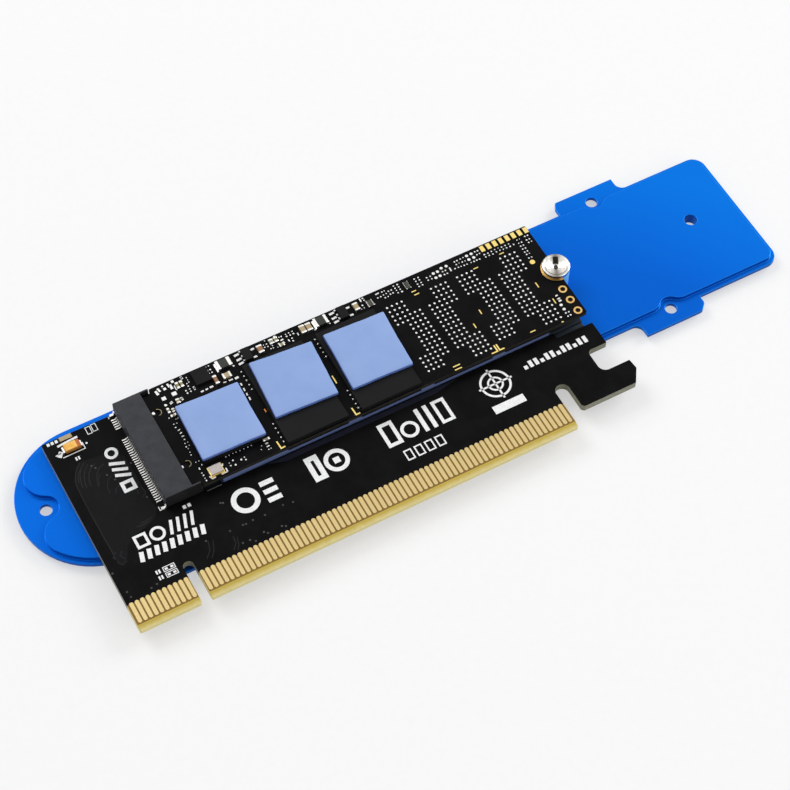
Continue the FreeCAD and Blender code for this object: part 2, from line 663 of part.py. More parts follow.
def carrier_board():
    """The L shaped board: card edge with key notch, relief slot, hook and lead-in bevel."""
    slot_round = size("slot_width") / 2.0 - NEARLY
    key_round = size("key_width") / 2.0
    key_left = size("key_centre") - key_round
    key_right = size("key_centre") + key_round
    low = size("edge_low")
    small = size("board_corner")
    corners = [
        (size("board_left"), low, small),
        (key_left, low, small),
        (key_left, size("key_top"), key_round - NEARLY),
        (key_right, size("key_top"), key_round - NEARLY),
        (key_right, low, small),
        (size("edge_right"), low, small),
        (size("edge_right"), size("slot_top"), slot_round),
        (size("slot_right"), size("slot_top"), slot_round),
        (size("slot_right"), size("hook_low") + size("hook_ease"), 0),
        (size("slot_right") + size("hook_ease"), size("hook_low"), 0),
        (size("hook_right") - size("hook_cut_along"), size("hook_low"), 0),
        (size("hook_right"), size("hook_low") + size("hook_cut_up"), 0),
        (size("hook_right") - size("hook_lip"), size("throat_low"), small / 2.0),
        (size("throat_left"), size("throat_low"), size("throat_corner")),
        (size("throat_left"), size("throat_high"), size("throat_top_corner")),
        (size("board_right"), size("throat_high"), 0),
        (size("board_right"), size("strip_low"), small),
        (size("strip_step"), size("strip_low"), small),
        (size("strip_step"), size("strip_top"), small),
        (size("board_step"), size("strip_top"), 2.0 * small),
        (size("board_step"), size("board_top"), small),
        (size("board_left"), size("board_top"), small),
    ]
    thick = size("board_thick")
    body = rounded_face(corners, BOARD_BASE).extrude(FreeCAD.Vector(0, 0, thick))
    high = size("bevel_high")
    deep = size("bevel_deep")
    start = size("board_left") - size("slot_width") / 2.0
    run = FreeCAD.Vector(size("edge_right") - start + size("slot_width") / 2.0, 0, 0)
    for face_z, way in ((BOARD_FACE, -1.0), (BOARD_BASE, 1.0)):
        outside = face_z - way * NEARLY
        wedge = Part.Face(Part.makePolygon([
            point(start, low - NEARLY, outside),
            point(start, low + high, outside),
            point(start, low + high, face_z),
            point(start, low, face_z + way * deep),
            point(start, low - NEARLY, face_z + way * deep),
            point(start, low - NEARLY, outside),
        ]))
        body = body.cut(wedge.extrude(run))
    return shape_part("carrier_board", body)


def pad_centres():
    """X of the 82 pads of one side, left to right."""
    pitch = size("pad_pitch")
    first = int(size("pad_first"))
    second = int(size("pad_second"))
    left = [-size("pad_key_gap") - pitch * (first - 1 - i) for i in range(first)]
    return left + [pitch * i for i in range(second)]


def pad_outline(x, top, z):
    """A card edge pad with eased corners."""
    half = size("pad_width") / 2.0
    ease = half * 0.55
    low = top - size("pad_length")
    return Part.Face(Part.makePolygon([
        point(x - half, low + ease, z),
        point(x - half + ease, low, z),
        point(x + half - ease, low, z),
        point(x + half, low + ease, z),
        point(x + half, top - ease, z),
        point(x + half - ease, top, z),
        point(x - half + ease, top, z),
        point(x - half, top - ease, z),
        point(x - half, low + ease, z),
    ]))


def edge_fingers(label, z):
    """All the pads on one side of the card edge."""
    lift = FreeCAD.Vector(0, 0, size("pad_thick"))
    pads = [pad_outline(x, 0.0, z).extrude(lift) for x in pad_centres()]
    return shape_part(label, Part.makeCompound(pads))


def socket_housing():
    """Socket body: floor, roof, end walls and a slot with a key rib for the module."""
    left = size("socket_left")
    low = size("socket_low")
    width = size("socket_width")
    wall = size("socket_wall")
    slot_start = size("tongue_tip") - size("tongue_end_clear")
    high = size("socket_high")
    floor = size("socket_floor")
    over = size("roof_front")
    inner = width - 2.0 * wall
    floor_z = BOARD_FACE + floor
    body = block(left, low, BOARD_FACE, size("socket_depth"), width, high)
    slot = block(slot_start, low + wall, floor_z, THROUGH, inner,
                 high - floor - size("socket_roof"))
    cheek = size("socket_cheek")
    open_front = block(over, low + cheek, floor_z, THROUGH, width - 2.0 * cheek, THROUGH)
    body = body.cut(slot).cut(open_front)
    for wall_y in (low, low + width - wall):
        body = body.cut(block(size("wall_front"), wall_y, floor_z, THROUGH, wall, THROUGH))
    rib_width = size("tongue_key") - 2.0 * size("tongue_end_clear")
    for key in ("tongue_key_y", "tongue_key_low_y"):
        rib = block(slot_start - wall / 2.0, size(key) - rib_width / 2.0,
                    BOARD_FACE + floor / 2.0, over - slot_start + wall / 2.0, rib_width,
                    high - floor / 2.0)
        body = body.fuse(rib)
    return shape_part("m2_socket_housing", body.removeSplitter())


def tail(y):
    """One contact tail: a foot on the board that rises against the housing's rear."""
    x = size("socket_left")
    half = size("tail_width") / 2.0
    thick = size("tail_thick")
    profile = [
        (x, 0.0),
        (x - size("tail_reach"), 0.0),
        (x - size("tail_reach"), thick),
        (x - 2.0 * thick, thick),
        (x - thick, size("tail_high")),
        (x, size("tail_high")),
        (x, 0.0),
    ]
    face = Part.Face(Part.makePolygon([
        point(px, y - half, BOARD_FACE + pz) for px, pz in profile
    ]))
    return face.extrude(FreeCAD.Vector(0, 2.0 * half, 0))


def socket_contacts():
    """Rear tails in two runs, either side of the key."""
    pitch = size("tail_pitch")
    rows = [size("tail_first_y") - pitch * i for i in range(int(size("tail_first")))]
    rows += [size("tail_second_y") - pitch * i for i in range(int(size("tail_second")))]
    return shape_part("socket_contacts_rear", Part.makeCompound([tail(y) for y in rows]))


def socket_hold_downs():
    """The two metal ears that solder the housing's rear corners to the board."""
    left = size("socket_left")
    width = size("ear_width")
    thick = size("ear_thick")
    profile = [
        (left, 0.0),
        (left - size("ear_reach"), 0.0),
        (left - size("ear_reach"), thick),
        (left - 2.0 * thick, thick),
        (left - thick, size("ear_high")),
        (left, size("ear_high")),
        (left, 0.0),
    ]
    ears = []
    for y in (size("socket_low"), size("socket_far") - width):
        face = Part.Face(Part.makePolygon([
            point(px, y, BOARD_FACE + pz) for px, pz in profile
        ]))
        ears.append(face.extrude(FreeCAD.Vector(0, width, 0)))
    return shape_part("socket_hold_downs", Part.makeCompound(ears))


def ring_places():
    """Y of the plated holes near the module's free end."""
    return [size("ring_y") + size("ring_pitch") * i for i in range(int(size("ring_count")))]


def module_board():
    """Module board with its keyed tongue, round end notch and plated holes."""
    left = size("module_left")
    right = size("module_right")
    low = size("module_low")
    high = size("module_high")
    middle = size("module_middle")
    half = size("tongue_width") / 2.0
    tip = size("tongue_tip")
    key = size("tongue_key_y")
    key_low = size("tongue_key_low_y")
    key_half = size("tongue_key") / 2.0
    key_in = tip + size("tongue_key_deep")
    small = size("board_corner")
    corners = [
        (tip, middle - half, small),
        (left, middle - half, small),
        (left, low, small),
        (right, low, small),
        (right, high, small),
        (left, high, small),
        (left, middle + half, small),
        (tip, middle + half, small),
        (tip, key + key_half, small / 2.0),
        (key_in, key + key_half, key_half - NEARLY),
        (key_in, key - key_half, key_half - NEARLY),
        (tip, key - key_half, small / 2.0),
        (tip, key_low + key_half, small / 2.0),
        (key_in, key_low + key_half, key_half - NEARLY),
        (key_in, key_low - key_half, key_half - NEARLY),
        (tip, key_low - key_half, small / 2.0),
    ]
    body = rounded_face(corners, MODULE_BASE).extrude(
        FreeCAD.Vector(0, 0, size("module_thick"))
    )
    body = body.cut(rod(right, middle, 0, size("end_notch") / 2.0, THROUGH))
    for y in ring_places():
        body = body.cut(rod(size("ring_x"), y, 0, size("ring_hole") / 2.0, THROUGH))
    return shape_part("module_board", body)


def module_end_ring():
    """Bare metal half ring under the screw head."""
    right = size("module_right")
    middle = size("module_middle")
    radius = size("end_ring") / 2.0
    ring = rod(right, middle, MODULE_FACE, radius, size("copper"))
    ring = ring.cut(rod(right, middle, 0, size("end_notch") / 2.0, THROUGH))
    half = block(right - radius, middle - radius, MODULE_FACE, radius, 2.0 * radius, radius)
    return shape_part("module_end_ring", ring.common(half))


def module_hole_rings():
    """Rings of the plated holes near the free end."""
    rings = []
    for y in ring_places():
        ring = rod(size("ring_x"), y, MODULE_FACE, size("ring_outer") / 2.0, size("copper"))
        rings.append(ring.cut(rod(size("ring_x"), y, 0, size("ring_hole") / 2.0, THROUGH)))
    return shape_part("module_hole_rings", Part.makeCompound(rings))


def module_test_pads():
    """Row of bare pads along the far edge."""
    pads = []
    for i in range(int(size("end_pad_count"))):
        x = size("end_pad_x") + size("end_pad_pitch") * i
        pads.append(block(x, size("end_pad_y"), MODULE_FACE, size("end_pad_length"),
                          size("end_pad_width"), size("copper")))
    return shape_part("module_test_pads", Part.makeCompound(pads))


def packages():
    """Controller, two memory packages beside it and four on the module's underside."""
    keep(box("module_controller", "Sizes.controller_size", "Sizes.controller_size",
             "Sizes.chip_high", X0 + "Sizes.controller_x", Y0 + "Sizes.controller_y",
             MODULE_TOP_Z), "module_controller")
    for letter in ("a", "b"):
        keep(box("memory_package_" + letter, "Sizes.memory_width", "Sizes.memory_length",
                 "Sizes.chip_high", X0 + "Sizes.memory_%s_x" % letter, Y0 + "Sizes.memory_y",
                 MODULE_TOP_Z), "memory_package_" + letter)
    step = size("memory_width") + size("memory_space")
    lower = [
        block(size("memory_a_x") + step * i, size("memory_y"), MODULE_BASE - size("lower_high"),
              size("memory_width"), size("memory_length"), size("lower_high"))
        for i in range(int(size("lower_count")))
    ]
    shape_part("memory_packages_lower", Part.makeCompound(lower))


def thermal_pads():
    """Three upper pads on the packages and the long lower pad under the module."""
    places = (("thermal_pad_controller", "controller"), ("thermal_pad_memory_a", "a"),
              ("thermal_pad_memory_b", "b"))
    for label, name in places:
        pad = box(label, "Sizes.soft_%s_along" % name, "Sizes.soft_%s_across" % name,
                  "Sizes.soft_thick", X0 + "Sizes.soft_%s_x" % name,
                  Y0 + "Sizes.soft_%s_y" % name, CHIP_TOP_Z)
        pad.Placement.Rotation.Axis = FreeCAD.Vector(0, 0, 1)
        bound(pad, Placement__Rotation__Angle="Sizes.soft_%s_turn" % name)
        keep(pad, label)
    slab = box("lower_pad_slab", "Sizes.soft_low_length", "Sizes.soft_low_width",
               "Sizes.board_thick + Sizes.module_base - Sizes.lower_high",
               X0 + "Sizes.soft_low_x", Y0 + "Sizes.soft_low_y", "Sizes.core_thick")
    lead = box("lower_pad_lead", "Sizes.soft_low_lead", "Sizes.soft_low_width", str(THROUGH),
               X0 + "Sizes.soft_low_x", Y0 + "Sizes.soft_low_y",
               "Sizes.core_thick + Sizes.soft_low_lead_high")
    last = box("lower_pad_last", "Sizes.soft_low_tail", "Sizes.soft_low_width", str(THROUGH),
               X0 + "Sizes.soft_low_x + Sizes.soft_low_length - Sizes.soft_low_tail",
               Y0 + "Sizes.soft_low_y", "Sizes.core_thick + Sizes.soft_low_tail_high")
    relief = cylinder("lower_pad_relief", "Sizes.post / 2 + Sizes.soft_low_relief",
                      str(THROUGH), X0 + "Sizes.module_right", Y0 + "Sizes.module_middle", "0")
    tools = fused("lower_pad_tools", [lead, last, relief])
    keep(cut("thermal_pad_lower", slab, tools), "thermal_pad_lower")


def standoff():
    """Round post with a thread bore and a collar that locates the module's notch."""
    x = X0 + "Sizes.module_right"
    y = Y0 + "Sizes.module_middle"
    post_high = "Sizes.board_thick + Sizes.module_base"
    post = cylinder("standoff_post", "Sizes.post / 2", post_high, x, y, "Sizes.core_thick")
    collar = cylinder("standoff_collar", "Sizes.post_neck / 2",
                      post_high + " + Sizes.module_thick * Sizes.collar_share",
                      x, y, "Sizes.core_thick")
    bore = cylinder("standoff_bore", "Sizes.post_bore / 2", str(THROUGH), x, y,
                    "Sizes.core_thick + Sizes.bore_floor")
    solid = fused("standoff_solid", [post, collar])
    return keep(cut("standoff", solid, bore), "standoff")


def flat_edges(shape, z):
    """Edges of a shape that lie flat at one height."""
    return [edge for edge in shape.Edges
            if edge.BoundBox.ZLength < NEARLY and abs(edge.BoundBox.ZMin - z) < NEARLY]


def retaining_screw():
    """Flat-headed screw with an eased rim and a small cross recess."""
    x = size("module_right")
    y = size("module_middle")
    seat = MODULE_FACE + size("copper")
    top = seat + size("screw_head_high")
    length = size("screw_length")
    head = rod(x, y, seat, size("screw_head") / 2.0, size("screw_head_high"))
    head = head.makeFillet(size("screw_head_ease"), flat_edges(head, top))
    body = head.fuse(rod(x, y, seat - length, size("screw_shank") / 2.0,
                         length + size("screw_head_high") / 2.0))
    span = size("recess_span")
    width = size("recess_width")
    for long_x, long_y in ((span, width), (width, span)):
        body = body.cut(block(x - long_x / 2.0, y - long_y / 2.0, top - size("recess_deep"),
                              long_x, long_y, THROUGH))
    return shape_part("retaining_screw", body)


def tantalum():
    """Moulded capacitor body with a bevelled top, and its two end terminals."""
    x = size("tantalum_x")
    y = size("tantalum_y")
    length = size("tantalum_length")
    width = size("tantalum_width")
    thick = size("terminal_thick")
    lift = size("terminal_lift")
    inset = size("terminal_in")
    foot_length = size("terminal_foot")
    body = block(x + thick, y, BOARD_FACE + lift, length - 2.0 * thick, width,
                 size("tantalum_high") - lift)
    tops = flat_edges(body, BOARD_FACE + size("tantalum_high"))
    shape_part("tantalum_body", body.makeChamfer(size("tantalum_bevel"), tops))
    terminals = []
    for foot_x, side_x in ((x, x), (x + length - foot_length, x + length - thick)):
        foot = block(foot_x, y + inset, BOARD_FACE, foot_length, width - 2.0 * inset, lift)
        side = block(side_x, y + inset, BOARD_FACE, thick, width - 2.0 * inset,
                     size("terminal_high"))
        terminals.append(foot.fuse(side).removeSplitter())
    shape_part("tantalum_terminals", Part.makeCompound(terminals))


def board_bare_pad():
    """Bare metal pad by the carrier board's top edge."""
    return keep(box("board_bare_pad", "Sizes.bare_pad_length", "Sizes.bare_pad_width",
                    "Sizes.copper", X0 + "Sizes.bare_pad_x", Y0 + "Sizes.bare_pad_y",
                    FACE_Z), "board_bare_pad")


def crystal():
    """Ceramic base and metal lid of the timing crystal."""
    keep(box("crystal_base", "Sizes.crystal_length", "Sizes.crystal_width",
             "Sizes.crystal_high / 2", X0 + "Sizes.crystal_x", Y0 + "Sizes.crystal_y",
             MODULE_TOP_Z), "crystal_base")
    keep(box("crystal_lid", "Sizes.crystal_length - 2 * Sizes.crystal_lid_in",
             "Sizes.crystal_width - 2 * Sizes.crystal_lid_in", "Sizes.crystal_high / 2",
             X0 + "Sizes.crystal_x + Sizes.crystal_lid_in",
             Y0 + "Sizes.crystal_y + Sizes.crystal_lid_in",
             MODULE_TOP_Z + " + Sizes.crystal_high / 2"), "crystal_lid")


# Small parts on the module, each as: distance from the shoulder to its left side, distance
# from the far long edge to its far side, length, width, height. A negative distance is one
# from the near long edge to the near side.
POWER_CHIPS = [
    (7.85, 0.55, 3.0, 3.0, 0.55), (17.7, 0.45, 1.5, 2.6, 0.8), (36.9, 0.45, 1.55, 2.6, 0.8),
]
INDUCTORS = [(12.55, 0.6, 2.8, 1.85, 0.7), (32.05, 0.55, 2.55, 1.9, 0.7)]
LARGE_CAPACITORS = [
    (10.9, 3.0, 0.75, 1.95, 0.6), (12.6, 3.45, 1.6, 1.15, 0.6), (20.7, 0.8, 0.85, 1.75, 0.6),
    (29.25, 0.55, 0.9, 1.5, 0.6), (30.45, 0.55, 0.9, 1.5, 0.6), (40.15, 0.65, 0.9, 1.5, 0.6),
]
SMALL_PARTS = [
    (5.5, 0.95, 0.85, 1.1, 0.4), (1.0, 5.95, 0.9, 0.9, 0.4), (44.95, 0.75, 0.8, 1.0, 0.4),
    (50.7, 0.85, 0.85, 1.1, 0.4), (13.1, -2.55, 0.9, 0.6, 0.4), (3.45, 4.15, 0.9, 0.6, 0.4),
]


def small_parts():
    """Groups of small soldered parts on the module."""
    groups = (("power_chip", POWER_CHIPS), ("power_inductors", INDUCTORS),
              ("ceramic_capacitors", LARGE_CAPACITORS), ("chip_resistors", SMALL_PARTS))
    left = size("module_left")
    near = size("module_low")
    far = size("module_high")
    for label, items in groups:
        solids = [block(left + along, near - down if down < 0 else far - down - width,
                        MODULE_FACE, length, width, height)
                  for along, down, length, width, height in items]
        shape_part(label, Part.makeCompound(solids))


heatsink_plate()
carrier_board()
edge_fingers("edge_fingers_top", BOARD_FACE)
edge_fingers("edge_fingers_back", BOARD_BASE - size("pad_thick"))
socket_housing()
socket_contacts()
socket_hold_downs()
module_board()
module_end_ring()
module_hole_rings()
module_test_pads()
packages()
thermal_pads()
standoff()
retaining_screw()
tantalum()
board_bare_pad()
crystal()
small_parts()
DOC.recompute()

for item in DOC.Objects:
    if "Invalid" in item.State or "Error" in item.State:
        raise RuntimeError("object %s is in state %s" % (item.Name, item.State))

os.makedirs("parts", exist_ok=True)
for item in SUB_PARTS:
    shape = item.Shape
    if shape.isNull() or not shape.isValid() or not shape.Solids:
        raise RuntimeError("sub-part %s has no valid solid" % item.Label)
    shape.exportStep("parts/%s.step" % item.Label)
    print("%-26s %3d solids %9.3f mm3" % (item.Label, len(shape.Solids), shape.Volume))
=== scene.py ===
import math
import random

import bmesh
import bpy
from mathutils import Matrix, Vector


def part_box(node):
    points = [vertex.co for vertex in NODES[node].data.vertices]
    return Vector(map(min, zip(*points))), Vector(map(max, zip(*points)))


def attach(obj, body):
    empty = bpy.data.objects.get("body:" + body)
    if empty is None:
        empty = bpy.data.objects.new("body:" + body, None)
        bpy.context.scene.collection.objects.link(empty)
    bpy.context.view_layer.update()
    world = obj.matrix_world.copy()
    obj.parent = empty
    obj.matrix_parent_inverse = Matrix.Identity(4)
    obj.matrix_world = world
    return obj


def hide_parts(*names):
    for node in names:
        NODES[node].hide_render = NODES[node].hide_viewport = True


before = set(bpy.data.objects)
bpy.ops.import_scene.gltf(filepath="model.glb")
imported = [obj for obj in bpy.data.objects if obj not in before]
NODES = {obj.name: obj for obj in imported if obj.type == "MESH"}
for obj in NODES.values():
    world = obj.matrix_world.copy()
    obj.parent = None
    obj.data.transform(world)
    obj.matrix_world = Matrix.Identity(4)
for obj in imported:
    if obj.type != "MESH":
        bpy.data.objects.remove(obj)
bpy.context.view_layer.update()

MM = 0.001
random.seed(7)

# Card positions: X in millimetres from card edge pad 12, Y from the tops of the pads.
BOARD_LOW, BOARD_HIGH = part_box("carrier_board")
HOOK_TIP_X = 86.25
EDGE_LOW_Y = -5.45
ORIGIN_X = BOARD_HIGH.x / MM - HOOK_TIP_X
ORIGIN_Y = BOARD_LOW.y / MM - EDGE_LOW_Y
BOARD_TOP = BOARD_HIGH.z / MM
MODULE_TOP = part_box("module_board")[1].z / MM


def place(x, y, z):
    """A card position in millimetres, turned into metres of the frame."""
    return Vector(((x + ORIGIN_X) * MM, (y + ORIGIN_Y) * MM, z * MM))


def card_box(node):
    """A CAD node's lowest and highest corners as card positions."""
    return [(corner.x / MM - ORIGIN_X, corner.y / MM - ORIGIN_Y, corner.z / MM)
            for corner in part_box(node)]


def on_scene(name, data):
    """A new object of the scene that holds some mesh, lamp or camera data."""
    thing = bpy.data.objects.new(name, data)
    bpy.context.scene.collection.objects.link(thing)
    return thing


# ---- materials

def add_node(tree, kind, **values):
    """A new shader node with some of its sockets set."""
    node = tree.nodes.new("ShaderNode" + kind)
    for name, value in values.items():
        node.inputs[name.replace("_", " ")].default_value = value
    return node


def feed(tree, socket, value):
    """Link a node's output to a socket, or set the socket to a number or a colour."""
    if isinstance(value, tuple):
        socket.default_value = (*value, 1.0)
    elif isinstance(value, (int, float)):
        socket.default_value = value
    else:
        tree.links.new(value, socket)


def calculate(tree, operation, *values):
    node = add_node(tree, "Math")
    node.operation = operation
    for socket, value in zip(node.inputs, values):
        feed(tree, socket, value)
    return node.outputs[0]


def show(tree, seen, lighting, share, out):
    """One shader by its share on camera, mirror and glass rays; the other lights the scene."""
    rays = add_node(tree, "LightPath")
    factor = rays.outputs["Is Camera Ray"]
    for operation, value in (("MAXIMUM", rays.outputs["Is Glossy Ray"]),
                             ("MAXIMUM", rays.outputs["Is Transmission Ray"]),
                             ("MULTIPLY", share)):
        factor = calculate(tree, operation, factor, value)
    blend = add_node(tree, "MixShader")
    for socket, source in zip(blend.inputs, (factor, lighting, seen.outputs[0])):
        tree.links.new(source, socket)
    tree.links.new(blend.outputs[0], out.inputs["Surface"])


class Nodes:
    """Short calls for building a node material; lengths are in metres."""

    def __init__(self, name):
        self.material = bpy.data.materials.new(name)
        self.material.use_nodes = True
        self.tree = self.material.node_tree
        self.tree.nodes.clear()
        self.out = add_node(self.tree, "OutputMaterial")
        self.shader = add_node(self.tree, "BsdfPrincipled")
        self.link(self.shader.outputs["BSDF"], self.out.inputs["Surface"])
        coords = add_node(self.tree, "TexCoord")
        self.position = coords.outputs["Object"]
        self.axes = self.split(self.position)
        self.normal_axes = self.split(coords.outputs["Normal"])

    def link(self, source, target):
        self.tree.links.new(source, target)

    def split(self, source):
        node = add_node(self.tree, "SeparateXYZ")
        self.link(source, node.inputs[0])
        return node.outputs

    def math(self, operation, *values):
        return calculate(self.tree, operation, *values)

    def mix(self, factor, first, second):
        node = add_node(self.tree, "Mix")
        node.data_type = "RGBA"
        for index, value in ((0, factor), (6, first), (7, second)):
            feed(self.tree, node.inputs[index], value)
        return node.outputs[2]

    def noise(self, scale, detail, stretch=None):
        node = add_node(self.tree, "TexNoise", Scale=scale, Detail=detail)
        position = self.position
        if stretch:
            mapping = add_node(self.tree, "Mapping", Scale=stretch)
            self.link(position, mapping.inputs["Vector"])
            position = mapping.outputs[0]
        self.link(position, node.inputs["Vector"])
        return node.outputs["Fac"]

    def ramp(self, source, low, high, low_out=0.0, high_out=1.0):
        node = add_node(self.tree, "MapRange", From_Min=low, From_Max=high, To_Min=low_out,
                        To_Max=high_out)
        self.link(source, node.inputs["Value"])
        return node.outputs[0]

    def product(self, first, second):
        return self.math("MULTIPLY", first, second)

    def between(self, source, low, high, soft):
        """1 where a value lies between two limits, easing to 0 outside them."""
        rise = self.ramp(source, low - soft, low + soft)
        fall = self.ramp(source, high - soft, high + soft, 1.0, 0.0)
        return self.product(rise, fall)

    def surface(self, shade, grain, rough, **fixed):
        """Colour, a roughness that runs between two values with the grain, fixed sockets."""
        self.link(shade, self.shader.inputs["Base Color"])
        self.link(self.ramp(grain, 0.3, 0.7, *rough), self.shader.inputs["Roughness"])
        for name, value in fixed.items():
            self.shader.inputs[name.replace("_", " ")].default_value = value
        return self.material

    def bump(self, height, distance, strength=0.5):
        node = add_node(self.tree, "Bump", Strength=strength, Distance=distance)
        self.link(height, node.inputs["Height"])
        self.link(node.outputs[0], self.shader.inputs["Normal"])


def anodised_blue():
    """Anodised aluminium: fine blasted grain, slow drifts of the dye, and a painted sheen that
    makes the colour paler when seen aslant.
    """
    made = Nodes("anodised_blue")
    grain = made.noise(9000.0, 2.0)
    slow = made.ramp(made.noise(22.0, 2.0), 0.35, 0.65)
    # painted sheen: paler blues are mixed into the base colour as the surface is seen more aslant
    facing = add_node(made.tree, "LayerWeight", Blend=0.5).outputs["Facing"]
    straight = made.mix(slow, (0.0006, 0.078, 0.43), (0.0008, 0.086, 0.46))
    sideways = made.mix(slow, (0.001, 0.104, 0.56), (0.001, 0.114, 0.6))
    grazing = made.mix(slow, (0.001, 0.155, 0.68), (0.001, 0.167, 0.72))
    shade = made.mix(made.ramp(facing, 0.134, 0.208), straight, sideways)
    shade = made.mix(made.ramp(facing, 0.2, 0.228), shade, grazing)
    # painted light: both ends of the plate are paler; painted shade: its walls on the near side are
    # darker
    left_end_painted_light = made.ramp(made.axes[0], -0.044, -0.053, 0.0, 0.42)
    shade = made.mix(left_end_painted_light, shade, (0.001, 0.15, 0.72))
    right_end_painted_light = made.ramp(made.axes[0], 0.058, 0.086, 0.0, 0.22)
    shade = made.mix(right_end_painted_light, shade, (0.001, 0.17, 0.56))
    upright = made.math("ABSOLUTE", made.normal_axes[2])
    forward = made.ramp(made.normal_axes[1], -0.15, -0.75, 0.0, 0.62)
    near_wall_painted_shade = made.product(made.ramp(upright, 0.6, 0.3), forward)
    shade = made.mix(near_wall_painted_shade, shade, (0.0004, 0.018, 0.15))
    # the eased edges catch more light, most of all toward the free end
    corner = made.between(upright, 0.4, 0.95, 0.03)
    lit = made.ramp(made.axes[0], -0.03, 0.0, 0.12, 0.6)
    shade = made.mix(made.product(corner, lit), shade, (0.02, 0.27, 0.82))
    speck = made.ramp(grain, 0.3, 0.7, 0.0, 0.1)
    shade = made.mix(speck, shade, (0.003, 0.18, 0.78))
    made.bump(grain, 6e-6)
    return made.surface(shade, grain, (0.3, 0.42), Metallic=0.5, Specular_IOR_Level=0.05)


def board_mask(name, glass, edge_colour, bare=None):
    """Black solder mask with faint copper relief; the cut sides show the laminate."""
    made = Nodes(name)
    weave = made.noise(1400.0, 3.0)
    patch = made.noise(260.0, 3.0)
    top = made.mix(made.ramp(patch, 0.4, 0.62), (0.0018, 0.0018, 0.0021), (0.0036, 0.0036, 0.0038))
    upright = made.math("ABSOLUTE", made.normal_axes[2])
    side = made.ramp(upright, 0.45, 0.35)
    stain = made.noise(900.0, 3.0, stretch=(1.0, 1.0, 6.0))
    edge = made.mix(made.ramp(stain, 0.35, 0.65), edge_colour,
                    tuple(0.62 * part for part in edge_colour))
    if bare:
        # along the card edge the laminate is bare between the pads and on the bevel
        low, high, left, right, gap_colour, bevel_colour, tip_colour = bare
        zone = made.product(made.between(made.axes[1], low, high, 2e-5),
                            made.between(made.axes[0], left, right, 2e-5))
        sloped = made.ramp(upright, 0.99, 0.96)
        fray = made.noise(1200.0, 3.0)
        reach = made.math("ADD", made.axes[1], made.ramp(fray, 0.3, 0.7, -0.0001, 0.0001))
        glow = made.ramp(reach, low + 0.0018, low + 0.001)
        bevel = made.mix(glow, bevel_colour, tip_colour)
        top = made.mix(zone, top, made.mix(sloped, gap_colour, bevel))
        edge = made.mix(zone, edge, tip_colour)
    made.bump(weave, 8e-6, 0.35)
    return made.surface(made.mix(side, top, edge), weave, (glass, glass + 0.12),
                        Specular_IOR_Level=0.05)


def plated(name, light, dark, rough, metallic=1.0):
    """Soft plated metal with small stains."""
    made = Nodes(name)
    stain = made.noise(1600.0, 3.0)
    slow = made.noise(192.0, 2.0)
    shade = made.mix(made.ramp(stain, 0.3, 0.7), dark, light)
    shade = made.mix(made.ramp(slow, 0.35, 0.7, 0.0, 0.35), shade, dark)
    made.bump(stain, 6e-6, 0.4)
    return made.surface(shade, stain, (rough + 0.1, rough), Metallic=metallic)


def moulded(name, light, dark, rough, scale=2600.0, specular=0.35, cloud_scale=208.0,
            near_side_painted_shade=None):
    """Moulded plastic, ceramic or epoxy with a fine texture."""
    made = Nodes(name)
    grain = made.noise(scale, 3.0)
    cloud = made.noise(cloud_scale, 2.0)
    shade = made.mix(made.ramp(cloud, 0.3, 0.7), dark, light)
    speck = made.ramp(grain, 0.45, 0.75, 0.0, 0.25)
    shade = made.mix(speck, shade, tuple(min(1.0, 1.5 * part) for part in light))
    # painted shade: faces turned toward -Y may take a darker colour
    if near_side_painted_shade:
        shade = made.mix(made.ramp(made.normal_axes[1], -0.5, -0.85), shade, near_side_painted_shade)
    made.bump(grain, 1e-5)
    return made.surface(shade, grain, (rough, rough + 0.15), Specular_IOR_Level=specular)


def silicone(name, light, dark, painted_side_shade, specular, painted_end_shade=()):
    """Silicone pad: matt woven face, a darker colour on its cut sides that is painted shade, and
    darker ends if any, also painted shade.
    """
    made = Nodes(name)
    imprint = made.noise(3200.0, 2.0)
    cloud = made.noise(180.0, 3.0)
    face = made.mix(made.ramp(cloud, 0.35, 0.65), dark, light)
    # painted shade: faces not turned up take the darker side colour
    shade = made.mix(made.ramp(made.normal_axes[2], 0.75, 0.45), face, painted_side_shade)
    if painted_end_shade:
        # painted shade: the colour darkens toward each listed end
        ends = [made.ramp(made.axes[0], place(shade_start_x, 0, 0).x, place(shade_full_x, 0, 0).x)
                for shade_start_x, shade_full_x in painted_end_shade]
        shade = made.mix(made.math("MAXIMUM", *ends), shade, (0.02, 0.026, 0.034))
    made.bump(imprint, 1.2e-5)
    return made.surface(shade, imprint, (0.55, 0.75), Specular_IOR_Level=specular)


def ink():
    """White legend ink, slightly uneven."""
    made = Nodes("legend_ink")
    wear = made.noise(5200.0, 3.0)
    shade = made.mix(made.ramp(wear, 0.3, 0.55), (0.66, 0.66, 0.65), (0.86, 0.87, 0.86))
    made.bump(wear, 6e-6, 0.4)
    return made.surface(shade, wear, (0.5, 0.7), Specular_IOR_Level=0.2)


